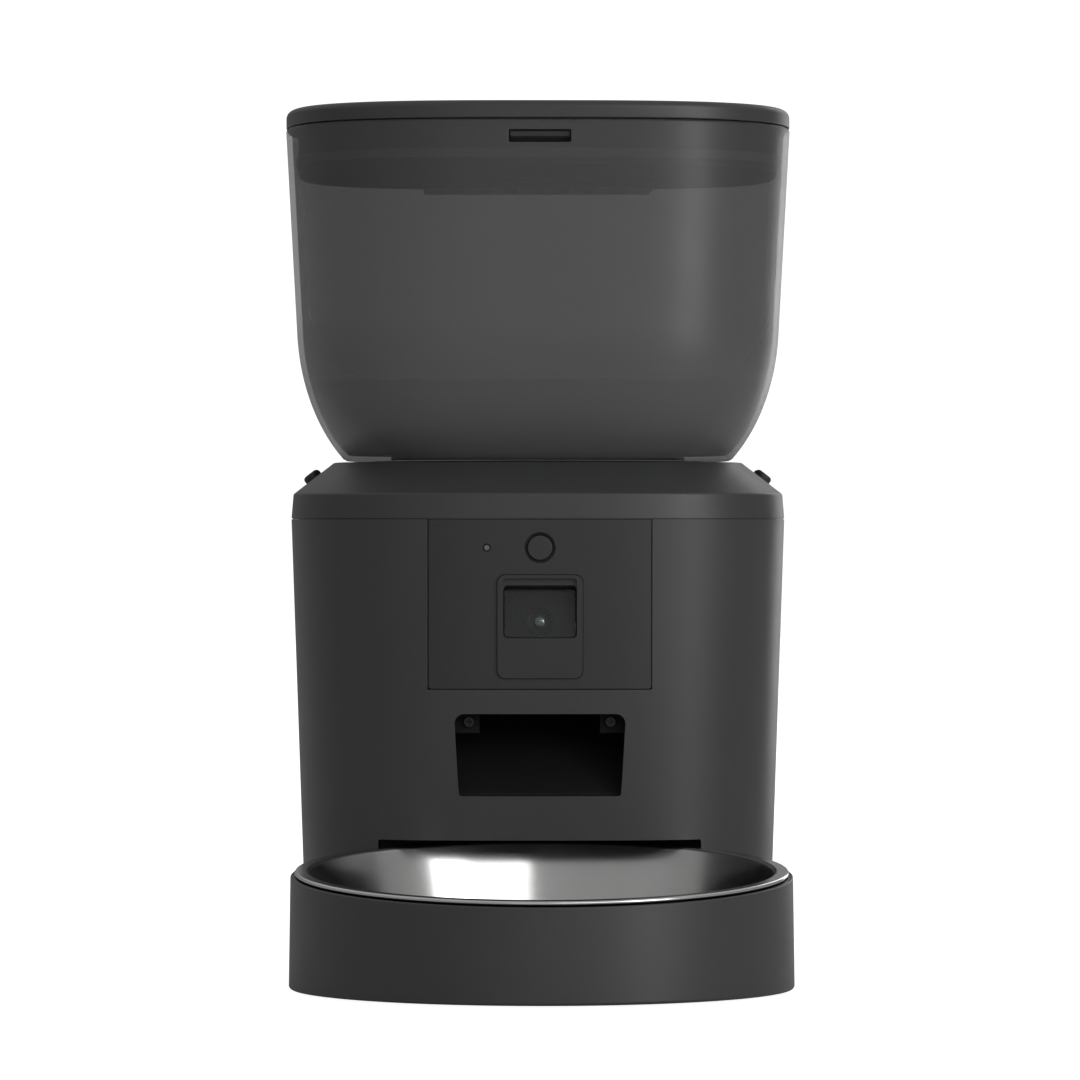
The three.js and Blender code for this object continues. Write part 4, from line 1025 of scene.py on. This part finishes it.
# ---------------------------------------------------------------- desiccant holder
# A drying sachet in a moulded box under the lid, behind a slotted cover that snaps on.
holder_low, holder_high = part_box("desiccant_box")
holder = block("sachet_box", holder_low, holder_high, 0.003)
HOLDER_WALL = 0.0016
room_low = holder_low + mathutils.Vector((HOLDER_WALL, HOLDER_WALL, -0.001))
room_high = holder_high - mathutils.Vector((HOLDER_WALL, HOLDER_WALL, HOLDER_WALL))
carve(holder, block("sachet_room", room_low, room_high, 0.002))
dress(holder, charcoal, "lid", "desiccant_box", soften=0.0004)

grid_low, grid_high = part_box("desiccant_cover")
grid = block("sachet_cover", grid_low, grid_high, 0.003)
for row in range(-3, 4):
    x = row * 0.010
    slot_ends = ((x - 0.002, grid_low.y + 0.008, 0.2), (x + 0.002, grid_high.y - 0.008, 0.4))
    carve(grid, block("slot", *slot_ends, 0.0015))
dress(grid, charcoal, "lid", "desiccant_cover", soften=0.0003)

fabric = Recipe("sachet_paper")
weave = fabric.noise(1800, 1)
fabric.finish(
    Base_Color=fabric.blend(fabric.ramp(weave, 0.4, 0.6), (0.62, 0.61, 0.58), (0.74, 0.73, 0.70)),
    Roughness=fabric.ramp(fabric.noise(120), 0.3, 0.7, 0.8, 0.95),
    Normal=fabric.bump(weave, 0.00012),
)
sachet = merged_copy("desiccant_bag", "drying_sachet")
smoother = sachet.modifiers.new("round", "SUBSURF")
smoother.levels = smoother.render_levels = 2
bpy.ops.object.mode_set(mode="EDIT")
bpy.ops.mesh.select_all(action="SELECT")
bpy.ops.mesh.remove_doubles(threshold=MERGE_WITHIN)
bpy.ops.object.mode_set(mode="OBJECT")
bpy.ops.object.modifier_apply(modifier=smoother.name)
dress(sachet, fabric.material, "lid", "desiccant_bag", soften=0, angle=60)

# ---------------------------------------------------------------- base plate, feet and battery door
# The moulded floor of the base, cut away round the tray, on four glued rubber feet. A door with
# thumb ridges slides back to reach the batteries.
plate_low, plate_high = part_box("base_plate")
plate_half = plate_high.x
plate = ringed("floor_plate", [(plate_half, plate_low.z), (plate_half, plate_high.z)], ends="caps")
DOCK_RADIUS = 0.0935
DOCK_WALL = 0.002
door_low, door_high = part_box("battery_door")
DOOR_TRAVEL = 0.006
carve(
    plate,
    pin("tray_room", DOCK_RADIUS + DOCK_WALL + PLAY, ((0, BOWL_Y, 0), (0, BOWL_Y, 0.01)), sides=ROUND_SIDES),
    block("doorway", (door_low.x - PLAY, door_low.y - PLAY, 0),
          (door_high.x + PLAY, door_high.y + DOOR_TRAVEL + PLAY, 0.01)),
)
dress(plate, inner_black, "base", "base_plate", soften=0.0004)

door = block("cell_door", door_low, door_high)
for row in range(3):
    y = door_high.y - 0.00725 - row * 0.004
    carve(door, block("grip", (-0.010, y - 0.00075, 0), (0.010, y + 0.00075, door_low.z + 0.0008)))
dress(door, inner_black, "battery_door", "battery_door", soften=0.0003)


def disc(node, name, material, body, soften):
    """A round pad in the place of an upright CAD cylinder."""
    low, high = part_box(node)
    x, y = (low.x + high.x) / 2, (low.y + high.y) / 2
    made = pin(name, (high.x - low.x) / 2, ((x, y, low.z), (x, y, high.z)), sides=64)
    dress(made, material, body, node, soften=soften)


for place in ("front_left", "front_right", "rear_left", "rear_right"):
    disc(f"foot_{place}", f"rubber_foot_{place}", soft_rubber.material, "base", 0.0004)

# ---------------------------------------------------------------- tray dock
# A curved pocket behind the tray, under a flat ceiling, that keeps the bowl's room apart from the
# batteries and boards.
dock_low, dock_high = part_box("tray_dock")
DOCK_CEILING = TRAY_SLOT["top"]
dock_ends = ((0, BOWL_Y, dock_low.z), (0, BOWL_Y, dock_high.z))
dock = pin("tray_pocket", DOCK_RADIUS + DOCK_WALL, dock_ends, sides=ROUND_SIDES)
carve(dock, pin("pocket_room", DOCK_RADIUS, ((0, BOWL_Y, 0), (0, BOWL_Y, DOCK_CEILING)), sides=ROUND_SIDES))
room_foot = FOOT_HALF - HOUSING_WALL - PLAY
room_levels = [(room_foot + housing_taper * (z - HOUSING_FOOT), z) for z in (0.0015, 0.060)]
boolean(dock, ringed("inside_housing", room_levels, ends="caps"), "INTERSECT")
dress(dock, inner_black, "base", "tray_dock", soften=0.0003)

# ---------------------------------------------------------------- rotor drive
# A geared motor in a black box under the well. Its brass pinion turns a white nylon wheel, whose
# hexagonal end drives the rotor from below.
wheel = merged_copy("drive_gear", "nylon_gear")
dress(wheel, natural, "drive_gear", "drive_gear", soften=0.0002, steps=2)

yellow_metal = Recipe("turned_brass")
yellow_metal.shader.inputs["Metallic"].default_value = 1.0
yellow_metal.finish(
    Base_Color=yellow_metal.blend(yellow_metal.noise(120, 3), (0.60, 0.41, 0.13), (0.72, 0.52, 0.20)),
    Roughness=yellow_metal.ramp(yellow_metal.noise(900, 2), 0.3, 0.7, 0.24, 0.40),
)
pinion = merged_copy("motor_pinion", "brass_pinion")
dress(pinion, yellow_metal.material, "motor_pinion", "motor_pinion", soften=0.0001, steps=2)

for node, name in (("gearbox_base", "gear_case"), ("gearbox_cover", "gear_case_cover")):
    case = merged_copy(node, name)
    dress(case, inner_black, "base", node, soften=0.0005)

motor_low, motor_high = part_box("gear_motor")
motor_x, motor_y = (motor_low.x + motor_high.x) / 2, (motor_low.y + motor_high.y) / 2
MOTOR_PARTS = ((0.012, motor_low.z + 0.002, 0.1017), (0.0012, 0.100, motor_high.z),
               (0.005, motor_low.z, motor_low.z + 0.003))
can, shaft, end_cap = (pin("motor_part", radius, ((motor_x, motor_y, z0), (motor_x, motor_y, z1)), sides=64)
                       for radius, z0, z1 in MOTOR_PARTS)
can.name = "drive_motor"
weld(can, shaft, end_cap)
dress(can, bright_steel.material, "base", "gear_motor", soften=0.0005)

# ---------------------------------------------------------------- batteries
# Three large backup cells side by side in a black box, each with a printed jacket and a bare cap,
# pressed forward by a coiled contact.
cells = merged_copy("battery_box", "cell_box")
dress(cells, inner_black, "base", "battery_box", soften=0.0006)

cell_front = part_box("battery_1")[0].y
CAP_REACH = 0.0015
jacket = Recipe("cell_jacket")
cell_y = jacket.along(1)
bare = jacket.ramp(cell_y, cell_front + CAP_REACH + 0.0004, cell_front + CAP_REACH, 0, 1)
band = jacket.ramp(cell_y, cell_front + 0.018, cell_front + 0.0184, 0, 1)
printed = jacket.blend(band, (0.45, 0.22, 0.04), (0.012, 0.012, 0.014))
metal = jacket.blend(jacket.noise(300, 3), (0.55, 0.55, 0.54), (0.62, 0.62, 0.61))
jacket.finish(Base_Color=jacket.blend(bare, printed, metal), Metallic=bare,
              Roughness=jacket.ramp(jacket.noise(80, 3), 0.3, 0.7, 0.28, 0.4))
for count in (1, 2, 3):
    low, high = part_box(f"battery_{count}")
    x, z = (low.x + high.x) / 2, (low.z + high.z) / 2
    cell_ends = ((x, low.y + CAP_REACH, z), (x, high.y, z))
    cell = pin(f"backup_cell_{count}", (high.x - low.x) / 2, cell_ends, "Y", 96)
    weld(cell, pin("cap", 0.005, ((x, low.y, z), (x, low.y + 2 * CAP_REACH, z)), "Y"))
    dress(cell, jacket.material, "base", f"battery_{count}", soften=0.0006)
    spring_along_y(f"contact_spring_{count}", f"cell_contact_{count}", 0.005, 0.0005, "base")


# ---------------------------------------------------------------- boards, socket and speaker
# Two green circuit boards with black parts on them, a round push switch, the power inlet at the
# back and a small speaker behind its slots.
def board_finish(name, axis, edge, width):
    """Green lacquer with faint copper tracks; past the board's own face it is the black parts."""
    mix = Recipe(name)
    tracks = mix.ramp(mix.noise(240, 1), 0.49, 0.51)
    lacquer = mix.blend(tracks, (0.010, 0.075, 0.030), (0.016, 0.115, 0.045))
    black = mix.blend(mix.noise(500), (0.010, 0.010, 0.010), (0.016, 0.016, 0.017))
    part = mix.ramp(mix.along(axis), edge, edge + width)
    return mix.finish(Base_Color=mix.blend(part, lacquer, black), Roughness=part * 0.25 + 0.35,
                      Normal=mix.bump(tracks, 0.00003))


main_finish = board_finish("main_circuit", 2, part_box("main_board")[0].z + 0.0017, 0.0002)
main = merged_copy("main_board", "main_circuit_board")
dress(main, main_finish, "base", "main_board", soften=0.0002, steps=2)

control_low, control_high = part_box("control_board")
control = block("panel_circuit_board", control_low, control_high, 0.002, "Y")
control_finish = board_finish("panel_circuit", 1, control_low.y - 0.001, -0.0002)
dress(control, control_finish, "base", "control_board", soften=0.0001, steps=2)

switch_low, switch_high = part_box("button_switch")
CAP_HEIGHT = mathutils.Vector((0, 0.001, 0))
switch = block("push_switch", switch_low + CAP_HEIGHT, switch_high, 0.0006, "Y")
weld(switch, pin("switch_cap", 0.0017, ((0, switch_low.y, BUTTON_Z), (0, switch_high.y, BUTTON_Z)), "Y"))
dress(switch, inner_black, "base", "button_switch", soften=0.0002)

inlet = block("power_inlet", socket_low, socket_high, 0.0012, "Y")
bore_ends = ((socket_x, socket_low.y + 0.002, socket_z), (socket_x, socket_high.y + 0.001, socket_z))
contact_ends = ((socket_x, socket_low.y + 0.001, socket_z), (socket_x, socket_high.y - 0.002, socket_z))
carve(inlet, pin("bore", 0.0032, bore_ends, "Y", 64))
weld(inlet, pin("contact", 0.001, contact_ends, "Y"))
dress(inlet, inner_black, "base", "power_socket", soften=0.0003)

SPEAKER_RADIUS = speaker_high.x


def in_speaker(name, radius, low_y, high_y, sides=96):
    """A round part of the speaker, on its axis, from front to back."""
    return pin(name, radius, ((0, low_y, speaker_z), (0, high_y, speaker_z)), "Y", sides)


back_y = speaker_high.y
driver = in_speaker("small_speaker", SPEAKER_RADIUS, back_y - 0.003, back_y)
carve(driver, in_speaker("cone_room", SPEAKER_RADIUS - 0.003, back_y - 0.002, back_y + 0.001))
weld(driver, in_speaker("magnet", SPEAKER_RADIUS / 2, speaker_low.y, back_y - 0.0025, 64))
dress(driver, inner_black, "base", "speaker", soften=0.0003)

# ---------------------------------------------------------------- the finished feeder
# The box round all the shown pieces, the floor left out, is worked out.
low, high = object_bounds()
